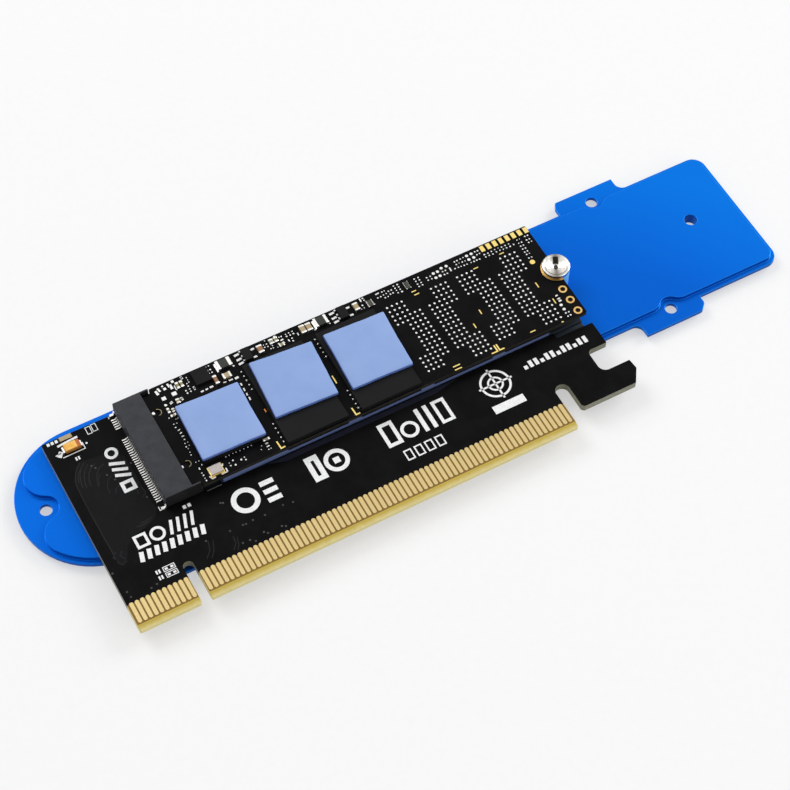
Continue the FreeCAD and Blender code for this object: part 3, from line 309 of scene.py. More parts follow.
def polished_steel():
    """Nickel plated steel turned on a lathe: fan-shaped glints painted into the colour, and fine
    turning lines.
    """
    made = Nodes("polished_steel")
    fan_bearing = math.radians(63.0)
    low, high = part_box("retaining_screw")
    middle = (low + high) / 2.0
    dx = made.math("SUBTRACT", made.axes[0], middle.x)
    dy = made.math("SUBTRACT", made.axes[1], middle.y)
    reach = made.math("SQRT", made.math("ADD", made.product(dx, dx), made.product(dy, dy)))
    turn = made.math("SUBTRACT", made.math("ARCTAN2", dy, dx), fan_bearing)
    fan = made.math("ABSOLUTE", made.math("SINE", turn))
    ahead = made.math("COSINE", turn)
    stain = made.noise(1800.0, 2.0)
    # painted highlight: bright fan-shaped lobes over a darker ground
    bright = made.mix(made.ramp(stain, 0.3, 0.7), (0.7, 0.67, 0.6), (0.9, 0.88, 0.84))
    shade = made.mix(made.ramp(fan, 0.05, 0.65), (0.26, 0.24, 0.21), bright)
    # painted reflection: a dark wedge in the dish; painted shade: a darker groove inside the rim
    # and the dark centre
    narrow = made.ramp(made.product(reach, fan), 0.00058, 0.00044)
    forward = made.product(narrow, made.ramp(ahead, 0.1, 0.3))
    dish = made.product(forward, made.between(reach, 0.00066, 0.002, 0.00008))
    shade = made.mix(dish, shade, (0.022, 0.019, 0.014))
    groove = made.between(reach, 0.00203, 0.00217, 0.00004)
    groove = made.product(groove, made.ramp(ahead, 0.5, -0.3))
    shade = made.mix(groove, shade, (0.16, 0.15, 0.13))
    shade = made.mix(made.ramp(reach, 0.00048, 0.0004), shade, (0.05, 0.045, 0.04))
    made.bump(made.math("SINE", made.product(reach, 60000.0)), 2e-6, 0.3)
    return made.surface(shade, stain, (0.18, 0.28), Metallic=1.0)


def orange_case():
    """Tantalum case: amber resin with a brown polarity band at one end."""
    made = Nodes("orange_case")
    right = card_box("tantalum_body")[1][0]
    grain = made.noise(2600.0, 3.0)
    cloud = made.noise(900.0, 2.0)
    shade = made.mix(made.ramp(cloud, 0.35, 0.65), (0.74, 0.33, 0.03), (0.9, 0.56, 0.12))
    shade = made.mix(made.ramp(grain, 0.55, 0.75, 0.0, 0.35), shade, (0.95, 0.66, 0.3))
    band = made.ramp(made.axes[0], place(right - 0.78, 0, 0).x, place(right - 0.68, 0, 0).x)
    shade = made.mix(band, shade, (0.46, 0.105, 0.02))
    # painted shade: faces turned toward -Y are darker
    shade = made.mix(made.ramp(made.normal_axes[1], -0.4, -0.8), shade, (0.42, 0.16, 0.02))
    made.bump(grain, 1.2e-5)
    return made.surface(shade, grain, (0.3, 0.45), Specular_IOR_Level=0.5)


# The part of the carrier board without solder mask: low, high, left, right.
BARE_ZONE = (BOARD_LOW.y - MM, place(0, -0.25, 0).y, BOARD_LOW.x - MM, place(71.2, 0, 0).x)
BARE_COLOURS = ((0.23, 0.135, 0.038), (0.54, 0.4, 0.085), (0.72, 0.63, 0.3))

MAT = {
    "blue": anodised_blue(),
    "board": board_mask("carrier_mask", 0.34, (0.3, 0.295, 0.225), BARE_ZONE + BARE_COLOURS),
    "module": board_mask("module_mask", 0.38, (0.035, 0.033, 0.028)),
    "gold": plated("gold_plating", (0.74, 0.59, 0.29), (0.64, 0.49, 0.215), 0.26),
    "bright_gold": plated("bright_gold", (0.97, 0.81, 0.31), (0.87, 0.62, 0.18), 0.3),
    "tin": plated("tin_plating", (0.92, 0.91, 0.88), (0.72, 0.71, 0.68), 0.34),
    "solder": plated("solder", (0.86, 0.86, 0.84), (0.66, 0.66, 0.64), 0.42, metallic=0.55),
    # painted shade: the socket's near side is darker
    "socket": moulded("socket_plastic", (0.038, 0.039, 0.045), (0.023, 0.024, 0.028), 0.5,
                      specular=0.2, cloud_scale=420.0, near_side_painted_shade=(0.012, 0.012, 0.013)),
    "package": moulded("package_epoxy", (0.0075, 0.0075, 0.0076), (0.0055, 0.0055, 0.006), 0.55,
                       specular=0.1),
    "pad": silicone("soft_pad", (0.264, 0.376, 0.672), (0.238, 0.35, 0.638),
                    (0.11, 0.19, 0.53), 0.25),
    # painted shade: the lower pad's ends under the module are darker
    "lower_pad": silicone("lower_soft_pad", (0.17, 0.22, 0.4), (0.14, 0.19, 0.35),
                          (0.128, 0.175, 0.36), 0.15, painted_end_shade=((10.9, 10.7), (75.9, 76.3))),
    "ink": ink(),
    "steel": polished_steel(),
    "orange": orange_case(),
    "lid": plated("crystal_lid", (0.43, 0.395, 0.375), (0.36, 0.33, 0.315), 0.4),
    # painted highlight: the standoff's blue is far lighter than the plate's
    "post": plated("painted_highlight_blue_post", (0.26, 0.66, 1.0), (0.18, 0.52, 0.95), 0.2, metallic=0.15),
    "ring_gold": plated("worn_gold", (0.92, 0.64, 0.25), (0.62, 0.36, 0.11), 0.3),
    "brown": moulded("brown_ceramic", (0.3, 0.16, 0.085), (0.23, 0.12, 0.06), 0.45),
    "olive": moulded("olive_ceramic", (0.3, 0.27, 0.13), (0.22, 0.2, 0.1), 0.45),
    "tan": moulded("tan_ceramic", (0.42, 0.33, 0.19), (0.34, 0.26, 0.14), 0.45),
    "ferrite": moulded("ferrite", (0.022, 0.026, 0.02), (0.014, 0.017, 0.013), 0.42),
    "copper_mark": plated("bare_copper", (0.78, 0.3, 0.06), (0.62, 0.22, 0.04), 0.38),
    "dull_gold": plated("dull_gold", (0.3, 0.25, 0.14), (0.2, 0.17, 0.1), 0.45),
    "resin": moulded("dark_resin", (0.022, 0.012, 0.008), (0.01, 0.006, 0.004), 0.5,
                     specular=0.1),
    "pour": moulded("mask_over_pour", (0.008, 0.008, 0.0086), (0.0062, 0.0062, 0.0068), 0.4,
                    scale=1400.0, specular=0.05),
    "trace": moulded("mask_over_trace", (0.02, 0.02, 0.021), (0.013, 0.013, 0.014), 0.36,
                     scale=1400.0, specular=0.08),
    "spot": moulded("mask_over_via", (0.06, 0.06, 0.062), (0.035, 0.035, 0.037), 0.4,
                    specular=0.1),
    "painted_blue_reflection": moulded("mask_painted_blue_reflection", (0.014, 0.015, 0.026), (0.01, 0.011, 0.019), 0.4,
                         scale=1400.0, specular=0.05),
    "painted_edge_highlight": moulded("painted_edge_highlight", (0.16, 0.16, 0.16), (0.09, 0.09, 0.09), 0.5,
                         specular=0.1),
    "dark_ceramic": moulded("dark_ceramic", (0.045, 0.046, 0.03), (0.024, 0.025, 0.017), 0.45),
    "grey_ceramic": moulded("grey_ceramic", (0.33, 0.32, 0.25), (0.24, 0.235, 0.18), 0.5),
}

MADE_OF = {
    "blue": "heatsink_plate", "post": "standoff", "board": "carrier_board",
    "gold": "edge_fingers_top edge_fingers_back", "tan": "board_bare_pad",
    "socket": "m2_socket_housing", "module": "module_board",
    "tin": "socket_contacts_rear socket_hold_downs tantalum_terminals",
    "ring_gold": "module_end_ring module_hole_rings",
    "bright_gold": "module_test_pads crystal_base",
    "package": "module_controller memory_package_a memory_package_b memory_packages_lower "
               "power_chip",
    "pad": "thermal_pad_controller thermal_pad_memory_a thermal_pad_memory_b",
    "lower_pad": "thermal_pad_lower", "steel": "retaining_screw", "orange": "tantalum_body",
    "lid": "crystal_lid", "ferrite": "power_inductors", "brown": "ceramic_capacitors",
    "olive": "chip_resistors",
}
for material, names in MADE_OF.items():
    for name in names.split():
        NODES[name].data.materials.clear()
        NODES[name].data.materials.append(MAT[material])


# ---- mesh building

DOME_SIDES = 10
DOME_SHAPE = ((1.0, 0.0), (0.92, 0.45), (0.7, 0.8), (0.35, 1.0))


def circle(x, y, radius, count):
    """The corners of a regular outline round a point."""
    return [(x + radius * math.cos(2 * math.pi * i / count),
             y + radius * math.sin(2 * math.pi * i / count)) for i in range(count)]


def unit(x, y):
    size = math.hypot(x, y) or 1.0
    return x / size, y / size


class Solids:
    """Closed solids at card positions, gathered into one piece; heights start at a base."""

    def __init__(self, base=0.0):
        self.base = base
        self.points = []
        self.faces = []
        self.slots = []

    def rings(self, rings, slot=0):
        """A solid from outlines stacked one on the next, capped at both ends."""
        first = len(self.points)
        count = len(rings[0][0])
        for outline, z in rings:
            self.points += [place(x, y, self.base + z) for x, y in outline]
        for level in range(len(rings) - 1):
            low = first + level * count
            high = low + count
            for i in range(count):
                j = (i + 1) % count
                self.faces.append((low + i, low + j, high + j, high + i))
                self.slots.append(slot)
        self.faces.append(tuple(first + count - 1 - i for i in range(count)))
        top = first + (len(rings) - 1) * count
        self.faces.append(tuple(top + i for i in range(count)))
        self.slots += [slot, slot]

    def prism(self, outline, z0, z1, slot=0):
        self.rings([(outline, z0), (outline, z1)], slot)

    def block(self, x0, y0, x1, y1, z0, z1, ease=0.0, slot=0):
        """A block whose upright corners and top edge may be eased."""
        if ease <= 0:
            self.prism([(x0, y0), (x1, y0), (x1, y1), (x0, y1)], z0, z1, slot)
            return

        def outline(inset):
            a, b, c, d = x0 + inset, y0 + inset, x1 - inset, y1 - inset
            return [
                (a + ease, b), (c - ease, b), (c, b + ease), (c, d - ease),
                (c - ease, d), (a + ease, d), (a, d - ease), (a, b + ease),
            ]

        self.rings([(outline(0.0), z0), (outline(0.0), z1 - ease), (outline(ease), z1)], slot)

    def disc(self, x, y, radius, z0, z1, count, slot=0):
        self.prism(circle(x, y, radius, count), z0, z1, slot)

    def dome(self, x, y, radius, high):
        """A low solder dome on the base."""
        self.rings([(circle(x, y, share * radius, DOME_SIDES), rise * high)
                    for share, rise in DOME_SHAPE])

    def ring(self, x, y, outer, inner, z0, z1, count, slot=0, start=0.0, turn=360.0):
        """A flat ring or part of one."""
        closed = turn >= 360.0
        steps = count if closed else count + 1
        first = len(self.points)
        for i in range(steps):
            angle = math.radians(start + turn * i / count)
            for radius, z in ((outer, z0), (outer, z1), (inner, z1), (inner, z0)):
                self.points.append(place(x + radius * math.cos(angle),
                                         y + radius * math.sin(angle), self.base + z))
        for i in range(count):
            here = first + 4 * i
            there = first + 4 * ((i + 1) % steps)
            for k in range(4):
                m = (k + 1) % 4
                self.faces.append((here + k, there + k, there + m, here + m))
                self.slots.append(slot)
        if not closed:
            last = first + 4 * count
            self.faces.append((first, first + 1, first + 2, first + 3))
            self.faces.append((last + 3, last + 2, last + 1, last))
            self.slots += [slot, slot]

    def stroke(self, path, width, z0, z1, slot=0):
        """A line of even width through a run of points, mitred at each corner."""
        half = width / 2.0
        left, right = [], []
        for i, (x, y) in enumerate(path):
            before = path[max(i - 1, 0)]
            after = path[min(i + 1, len(path) - 1)]
            ux, uy = unit(x - before[0], y - before[1])
            vx, vy = unit(after[0] - x, after[1] - y)
            nx, ny = unit(-(uy + vy), ux + vx)
            along = (vx, vy) if i == 0 else (ux, uy)
            lean = max(0.35, abs(nx * -along[1] + ny * along[0]))
            left.append((x + nx * half / lean, y + ny * half / lean))
            right.append((x - nx * half / lean, y - ny * half / lean))
        for i in range(len(path) - 1):
            self.prism([right[i], right[i + 1], left[i + 1], left[i]], z0, z1, slot)

    def build(self, name, materials, smooth=False):
        mesh = bpy.data.meshes.new(name)
        mesh.from_pydata(self.points, [], self.faces)
        for key in materials:
            mesh.materials.append(MAT[key])
        for polygon, slot in zip(mesh.polygons, self.slots):
            polygon.material_index = slot
            polygon.use_smooth = smooth
        mesh.validate()
        mesh.update()
        piece = on_scene(name, mesh)
        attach(piece, "root")
        return piece


# ---- eased copies

SHARP = math.radians(25.0)
FLAT = math.radians(1.0)


def eased(name, node, material, width, segments=2):
    """A copy of a CAD node with its sharp edges rounded, which stands in for the node."""
    source = NODES[node]
    mesh = source.data.copy()
    mesh.name = name
    work = bmesh.new()
    work.from_mesh(mesh)
    bmesh.ops.remove_doubles(work, verts=work.verts, dist=1e-7)
    bmesh.ops.dissolve_limit(work, angle_limit=FLAT, verts=work.verts, edges=work.edges)
    edges = [edge for edge in work.edges if len(edge.link_faces) == 2
             and edge.calc_face_angle(0.0) > SHARP]
    bmesh.ops.bevel(work, geom=edges, offset=width * MM, segments=segments, profile=0.5,
                    affect="EDGES", clamp_overlap=True)
    work.to_mesh(mesh)
    work.free()
    mesh.materials.clear()
    mesh.materials.append(MAT[material])
    for polygon in mesh.polygons:
        polygon.material_index = 0
        polygon.use_smooth = False
    piece = on_scene(name, mesh)
    piece.matrix_world = source.matrix_world.copy()
    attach(piece, "root")
    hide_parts(node)
    return piece


eased("plate_body", "heatsink_plate", "blue", 0.14)
eased("board_body", "carrier_board", "board", 0.05, 1)
eased("socket_body", "m2_socket_housing", "socket", 0.09)
for name, node in (("controller_body", "module_controller"),
                   ("memory_body_a", "memory_package_a"),
                   ("memory_body_b", "memory_package_b")):
    eased(name, node, "package", 0.05)


# ---- soft pads

PAD_DROOP = 0.06
PAD_STEPS = 15
# The rolled edge of a pad: share of its height, and how far the outline is set in.
PAD_ROLL = [(0.0, 0.09), (0.1, 0.03), (0.35, 0.0), (0.65, 0.01), (0.85, 0.04), (0.95, 0.09),
            (1.0, 0.18)]
CROWN_RINGS = 4


def inset_corners(corners, inset):
    """The corners of a four-sided outline, with every side moved in by the same amount."""
    lines = []
    for i in range(4):
        (x0, y0), (x1, y1) = corners[i], corners[(i + 1) % 4]
        ux, uy = unit(x1 - x0, y1 - y0)
        lines.append((x0 - uy * inset, y0 + ux * inset, ux, uy))
    found = []
    for i in range(4):
        ax, ay, ux, uy = lines[i - 1]
        bx, by, vx, vy = lines[i]
        reach = ((bx - ax) * vy - (by - ay) * vx) / (ux * vy - uy * vx)
        found.append((ax + ux * reach, ay + uy * reach))
    return found


def pad_outline(corners, inset, rounding, waves):
    """The outline of a hand-cut pad: slightly wavy sides and small round corners."""
    corners = inset_corners(corners, inset)
    points = []
    for i in range(4):
        (x0, y0), (x1, y1) = corners[i], corners[(i + 1) % 4]
        ux, uy = unit(x1 - x0, y1 - y0)
        length = math.hypot(x1 - x0, y1 - y0)
        for k in range(PAD_STEPS):
            share = k / (PAD_STEPS - 1)
            along = rounding + (length - 2.0 * rounding) * share
            push = waves[i][k] * math.sin(math.pi * share)
            points.append((x0 + ux * along - uy * push, y0 + uy * along + ux * push))
        bx, by = corners[(i + 2) % 4]
        vx, vy = unit(bx - x1, by - y1)
        points.append((x1 - ux * rounding * 0.3 + vx * rounding * 0.3,
                       y1 - uy * rounding * 0.3 + vy * rounding * 0.3))
    return points


def pad_piece(name, node, corners):
    """A cut silicone pad: crowned face, rolled edges, sides a little bulged."""
    (x0, y0, z0), (x1, y1, z1) = card_box(node)
    corners = [((x0 + x1) / 2.0 + dx, (y0 + y1) / 2.0 + dy) for dx, dy in corners]
    waves = []
    for _ in range(4):
        first, second = random.uniform(0.0, 6.28), random.uniform(0.0, 6.28)
        waves.append([0.045 + 0.03 * math.sin(first + 0.55 * k)
                      + 0.015 * math.sin(second + 1.7 * k) for k in range(PAD_STEPS)])
    rings = [(pad_outline(corners, inset, 0.22, waves), z0 + (z1 - z0 - PAD_DROOP) * share)
             for share, inset in PAD_ROLL]
    for k in range(1, CROWN_RINGS + 1):
        rise = PAD_DROOP * (1.0 - (1.0 - k / CROWN_RINGS) ** 2)
        rings.append((pad_outline(corners, PAD_ROLL[-1][1] + k * 0.9, 0.3 + 0.3 * k, waves),
                      z1 - PAD_DROOP + rise))
    solid = Solids()
    solid.rings(rings)
    piece = solid.build(name, ["pad"], smooth=True)
    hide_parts(node)


# Each pad was cut and laid by hand: corner offsets from its middle, anticlockwise.
pad_piece("pad_on_controller", "thermal_pad_controller",
          [(-6.2, -5.86), (5.88, -6.15), (6.2, 5.79), (-5.82, 6.25)])
pad_piece("pad_on_memory_a", "thermal_pad_memory_a",
          [(-6.42, -5.85), (5.65, -6.4), (6.46, 5.6), (-5.5, 6.6)])
pad_piece("pad_on_memory_b", "thermal_pad_memory_b",
          [(-6.3, -6.15), (5.6, -6.45), (6.3, 6.0), (-5.7, 6.5)])
lower_pad = eased("pad_under_module", "thermal_pad_lower", "lower_pad", 0.18, 3)

# The end of the long pad is squeezed out toward the board.
squeezed = Solids()
(_, pad_y, pad_z), (pad_x, _, _) = card_box("thermal_pad_lower")
squeezed.block(76.8, 12.5, pad_x - 0.1, pad_y - 0.02, pad_z, pad_z + 1.15, ease=0.25)
fold = squeezed.build("pad_end_fold", ["lower_pad"], smooth=True)


# ---- solder on the module

SITE_DOT = 0.2
VIA_DOT = 0.155
DOT_HIGH = 0.035
SITE_PITCH = 1.008
SITE_X = [52.38, 66.9]
SITE_Y = [31.2, 30.15, 29.1, 28.07, 27.05, 26.0, 25.0, 23.95, 22.92, 21.9, 20.85, 19.83,
          18.78, 17.75, 16.75, 15.72, 14.7]
OUTER = (0, 1, 2, 3, 9, 10, 11, 12)
WIDE = (0, 1, 2, 3, 4, 5, 7, 8, 9, 10, 11, 12)
INNER = (2, 3, 4, 5, 7, 8, 9, 10)
SITE_COLUMNS = (3 * [OUTER] + 2 * [WIDE] + 7 * [INNER] + 2 * [WIDE] + 2 * [OUTER]
                + [(9, 10, 11, 12)])
SMALL_DOTS = {
    0.1: [
        (7.92, 14.55), (7.93, 20.45), (7.94, 18.14), (7.98, 21.26), (8.44, 21.8), (8.49, 22.5),
        (8.5, 18.14), (8.5, 26.89), (12.9, 15.31), (13.58, 16.76), (14.03, 34.12), (14.32, 16.76),
        (15.66, 16.72), (16.39, 16.69), (17.84, 16.71), (18.97, 15.15), (19.37, 15.78),
        (20.58, 14.59), (29.12, 34.45), (29.68, 35.16), (31.21, 32.85), (48.26, 33.13),
        (48.79, 33.15), (68.81, 33.84), (76.82, 33.45), (81.3, 29.7), (81.37, 33.4),
    ],
    0.125: [
        (7.74, 28.42), (7.88, 19.87), (7.91, 15.73), (7.95, 22.46), (7.95, 26.91), (8.64, 17.22),
        (11.47, 33.17), (12.95, 16.73), (13.52, 32.23), (13.57, 33.47), (14.02, 33.62),
        (14.04, 34.64), (14.92, 16.74), (15.72, 15.16), (17.16, 16.69), (18.55, 35.05),
        (20.16, 14.58), (29.97, 33.14), (30.4, 33.09), (30.5, 33.61), (32.34, 34.67),
        (33.64, 34.69), (34.27, 34.7), (34.97, 34.73), (53.2, 34.05), (53.76, 34.8), (53.79, 33.34),
        (53.79, 34.1), (55.78, 33.85), (68.77, 33.03), (69.97, 32.95), (70.03, 33.75),
        (70.06, 34.59), (70.82, 32.91), (76.1, 33.44), (76.88, 32.87), (77.55, 32.77), (79, 33.35),
        (80.75, 32.62), (80.82, 33.39), (81.23, 28.78), (83.06, 31.92),
    ],
    0.15: [
        (7.86, 21.73), (7.95, 14), (7.95, 26.17), (7.96, 15.17), (8.24, 23.25), (12.8, 32.19),
        (12.91, 14.72), (13.51, 31.68), (13.56, 32.88), (15.75, 14.57), (17.97, 35.05), (18, 33.58),
        (18.54, 33.54), (29.12, 33.92), (29.7, 34.42), (29.71, 33.83), (32.75, 34.63), (34.3, 33.4),
        (34.31, 34.15), (41.74, 33.09), (49.55, 34.67), (51.98, 33.94), (52.59, 33.93),
        (53.2, 33.35), (53.26, 34.78), (54.38, 34.36), (54.41, 33.62), (54.95, 33.63),
        (54.96, 34.35), (55.72, 34.94), (55.75, 34.38), (55.78, 33.23), (56.49, 33.74),
        (56.49, 34.32), (59.8, 33.26), (59.81, 32.67), (59.83, 34.53), (59.84, 33.95),
        (60.55, 32.7), (60.56, 33.28), (60.58, 33.93), (60.6, 34.5), (61.95, 33.12), (61.96, 33.73),
        (62.69, 33.72), (62.7, 33.08), (65.21, 33.56), (65.78, 32.84), (65.79, 33.58),
        (67.53, 33.09), (68.19, 34.47), (68.21, 33.8), (68.23, 33.05), (69.39, 32.95),
        (69.45, 33.79), (69.45, 34.56), (72.59, 32.86), (72.62, 34.73), (72.64, 33.96),
        (73.2, 33.99), (73.82, 32.74), (74.57, 32.76), (74.59, 33.32), (75.32, 32.72),
        (75.36, 33.37), (76.13, 32.82), (77.51, 33.34), (78.23, 32.75), (78.27, 33.36),
        (79.78, 32.82), (80.26, 14.27), (80.65, 28.8), (80.68, 30.34), (80.71, 31.11),
        (80.71, 31.86), (80.73, 29.7), (80.87, 15.04), (81.26, 30.34), (81.28, 31.08),
        (81.3, 31.84), (81.33, 32.59), (82.48, 31.92), (82.52, 33.46), (82.98, 32.58),
        (83.1, 33.44),
    ],
    0.17: [
        (12.81, 31.6), (13.71, 15.5), (17.93, 34.2), (18.5, 34.23), (33.61, 34.21), (34.24, 32.8),
        (34.98, 34.18), (38.8, 33.11), (43.76, 33.34), (48.76, 33.8), (49.47, 35.18),
        (56.52, 34.92), (65.2, 32.83), (68.74, 34.52), (71.42, 32.89), (72, 32.89), (73.18, 34.7),
        (73.85, 33.33), (78.99, 32.73), (80.27, 15.06), (80.85, 14.3), (82.39, 32.57),
    ],
    0.19: [
        (8.34, 31.22), (13.75, 14.48), (15.05, 14.97), (22.47, 32.98), (56.54, 33.13),
    ],
    0.3: [
        (63.47, 32.94), (63.5, 33.99), (64.35, 32.97), (64.37, 34.02), (65.35, 34.38),
        (66.38, 34.36), (70.8, 33.7), (70.82, 34.62), (71.8, 34.64), (71.82, 33.69), (80.43, 15.94),
        (80.44, 16.98),
    ],
}
SOLDER_BARS = [
    (8, 34.61, 8.13, 33.66, 0.46), (8.55, 34.97, 8.71, 34.11, 0.34),
    (9.32, 34.96, 9.66, 34.98, 0.3), (9.38, 34.27, 9.92, 34.29, 0.5),
    (10.46, 35.03, 10.54, 34.26, 0.36), (10.82, 34.64, 10.83, 33.64, 0.46),
    (11.24, 35.04, 11.73, 35.06, 0.5), (11.44, 34.14, 11.38, 33.29, 0.2),
    (13.03, 34.92, 13.45, 34.98, 0.5), (14.28, 32.38, 14.31, 31.58, 0.26),
    (11.42, 31.23, 11.49, 30.67, 0.34), (9.16, 30.98, 9.72, 31.1, 0.3),
    (8.15, 31.05, 8.59, 31.09, 0.3), (8.67, 27.67, 9.17, 27.73, 0.22),
    (14.98, 30.7, 15.55, 30.73, 0.3), (15.9, 30.73, 16.38, 30.76, 0.3),
    (16.75, 30.8, 17.42, 30.82, 0.34), (19.33, 30.61, 19.89, 30.55, 0.2),
    (20.37, 30.53, 21.11, 30.52, 0.3), (21.48, 30.41, 22.2, 30.46, 0.42),
    (21.92, 29.12, 21.92, 28.53, 0.25), (21.92, 27.93, 21.87, 27.25, 0.25),
    (21.92, 26.75, 21.84, 26.19, 0.25), (21.93, 25.79, 21.88, 25.11, 0.25),
    (7.9, 16.45, 7.94, 16.89, 0.2), (7.99, 25.37, 8.45, 25.47, 0.18),
    (8.01, 23.96, 8.46, 23.96, 0.18), (8.01, 24.66, 8.45, 24.74, 0.18),
    (8.62, 27.67, 9.06, 27.75, 0.18), (9.24, 31.13, 9.7, 31.29, 0.29),
    (10.95, 13.87, 11.37, 13.93, 0.2), (11.36, 31.39, 11.38, 30.85, 0.29),
    (13.18, 34.83, 13.24, 35.31, 0.36), (14.34, 31.75, 14.36, 32.23, 0.25),
    (20.07, 15.15, 20.63, 15.23, 0.21), (20.13, 15.79, 20.63, 15.83, 0.21),
    (31.39, 34.28, 31.87, 34.32, 0.35), (31.42, 35.15, 31.86, 35.15, 0.34),
    (31.63, 33.55, 31.75, 32.99, 0.31), (32.25, 33.86, 32.81, 33.94, 0.28),
    (32.49, 33.46, 32.59, 32.98, 0.33), (33.53, 33.45, 33.63, 32.95, 0.22),
    (35.63, 33.38, 35.65, 33.96, 0.2), (48.91, 35.39, 48.93, 34.59, 0.26),
    (49.83, 33.8, 49.87, 34.26, 0.34), (51.92, 34.77, 52.66, 34.83, 0.23),
    (66.67, 32.91, 66.71, 33.75, 0.26), (80.51, 19.1, 80.99, 19.16, 0.27),
]
BIG_PADS = [
    (8.66, 32.53, 0.8, 0.75), (10.71, 32.62, 0.9, 0.8), (26.98, 34.6, 0.75, 0.42),
    (26.75, 32.9, 0.75, 0.42), (46.15, 34.6, 0.75, 0.42), (46.05, 32.85, 0.75, 0.42),
]

small = Solids(MODULE_TOP)
# the two empty memory sites, and the vias beside the packages
for left in SITE_X:
    for y, columns in zip(SITE_Y, SITE_COLUMNS):
        for column in columns:
            small.dome(left + SITE_PITCH * column, y, SITE_DOT, DOT_HIGH)
for x in (23.15, 37.8):
    for y in (31.2, 30.15, 29.15, 28.1, 27.05, 18.85, 17.85, 16.85, 15.77, 14.8):
        small.dome(x, y, VIA_DOT, DOT_HIGH)
for radius, spots in SMALL_DOTS.items():
    for x, y in spots:
        small.dome(x, y, radius, 0.03 + 0.06 * radius)
for x0, y0, x1, y1, width in SOLDER_BARS:
    small.stroke([(x0, y0), (x1, y1)], width, 0.0, 0.05)
for x, y, along, across in BIG_PADS:
    small.block(x - along / 2, y - across / 2, x + along / 2, y + across / 2, 0.0, 0.08, 0.06)
# the legs of the two small switches
for left in (23.42, 42.47):
    for y, tip in ((34.78, 35.03), (33.7, 34.0), (32.78, 33.02)):
        small.stroke([(left, y - 0.04), (left + 0.98, y + 0.05)], 0.42, 0.0, 0.07)
        small.block(left + 1.08, tip - 0.17, left + 1.42, tip + 0.17, 0.0, 0.3, 0.05)
small.build("module_solder_dots", ["solder"])


# ---- gold marks on the module

MARK_HIGH = 0.03
GOLD_BARS = [
    (57.95, 32.18, 58.9, 32.18), (58.1, 31.37, 59.1, 31.37), (70.45, 31.4, 71.4, 31.4),
    (76.3, 32.08, 77.25, 32.08), (56.55, 14.4, 57.95, 14.4), (56.55, 13.66, 57.95, 13.66),
    (72.45, 14.4, 73.5, 14.4), (78.55, 13.65, 78.95, 13.65), (64.4, 19.8, 64.4, 20.85),
    (66.8, 22.0, 66.8, 23.05), (78.87, 22.25, 78.87, 23.45), (79.8, 17.7, 79.8, 18.9),
    (36.82, 21.1, 36.82, 22.9),
]
GOLD_CORNERS = [
    [(22.05, 15.35), (22.12, 13.72), (22.95, 13.78)],
    [(36.7, 15.3), (36.78, 13.7), (37.55, 13.74)],
    [(65.25, 15.05), (65.25, 13.65), (64.05, 13.65)],
    [(65.72, 15.05), (65.72, 13.67), (66.65, 13.67)],
]
gold_marks = Solids(MODULE_TOP)
for x0, y0, x1, y1 in GOLD_BARS:
    gold_marks.stroke([(x0, y0), (x1, y1)], 0.21, 0.0, MARK_HIGH)
for path in GOLD_CORNERS:
    gold_marks.stroke(path, 0.26, 0.0, MARK_HIGH)
gold_marks.disc(80.77, 27.73, 0.5, 0.0, MARK_HIGH, 24)
for x, y in ((23.18, 21.95), (38.25, 21.1)):
    gold_marks.stroke([(x, y - 0.38), (x, y + 0.38)], 0.22, 0.0, MARK_HIGH, slot=1)
# half rings round the socket's guide notches, and the tabs in them
for y in (30.4, 18.55):
    gold_marks.ring(6.5, y, 0.72, 0.6, 0.0, MARK_HIGH, 20, 2, -90.0, 180.0)
gold_marks.block(5.45, 30.45, 6.05, 31.0, -0.35, -0.05, 0.1, 3)
gold_marks.block(5.4, 18.05, 5.75, 18.8, -0.45, -0.1, 0.08, 3)
gold_marks.build("module_gold_marks", ["bright_gold", "copper_mark", "dull_gold", "tin"])

# dark resin in the three plated holes
PLUG_RADIUS = 0.474
hole_plugs = Solids(MODULE_TOP)
(x0, y0, _), (x1, y1, _) = card_box("module_hole_rings")
for i in range(3):
    hole_plugs.disc((x0 + x1) / 2, y0 + (x1 - x0) / 2 + i * (y1 - y0 - x1 + x0) / 2,
                    PLUG_RADIUS, -0.6, -0.28, 24)
hole_plugs.build("module_hole_fill", ["resin"])


# ---- small soldered parts

CAP_EASE = 0.07
CAP_HIGH = 0.6
CHIP_HIGH = 0.33
INDUCTOR_HIGH = 0.7
BROWN, TAN, GREY, OLIVE, DARK = 1, 2, 3, 4, 5
PART_COLOURS = ["tin", "brown", "tan", "grey_ceramic", "olive", "dark_ceramic"]
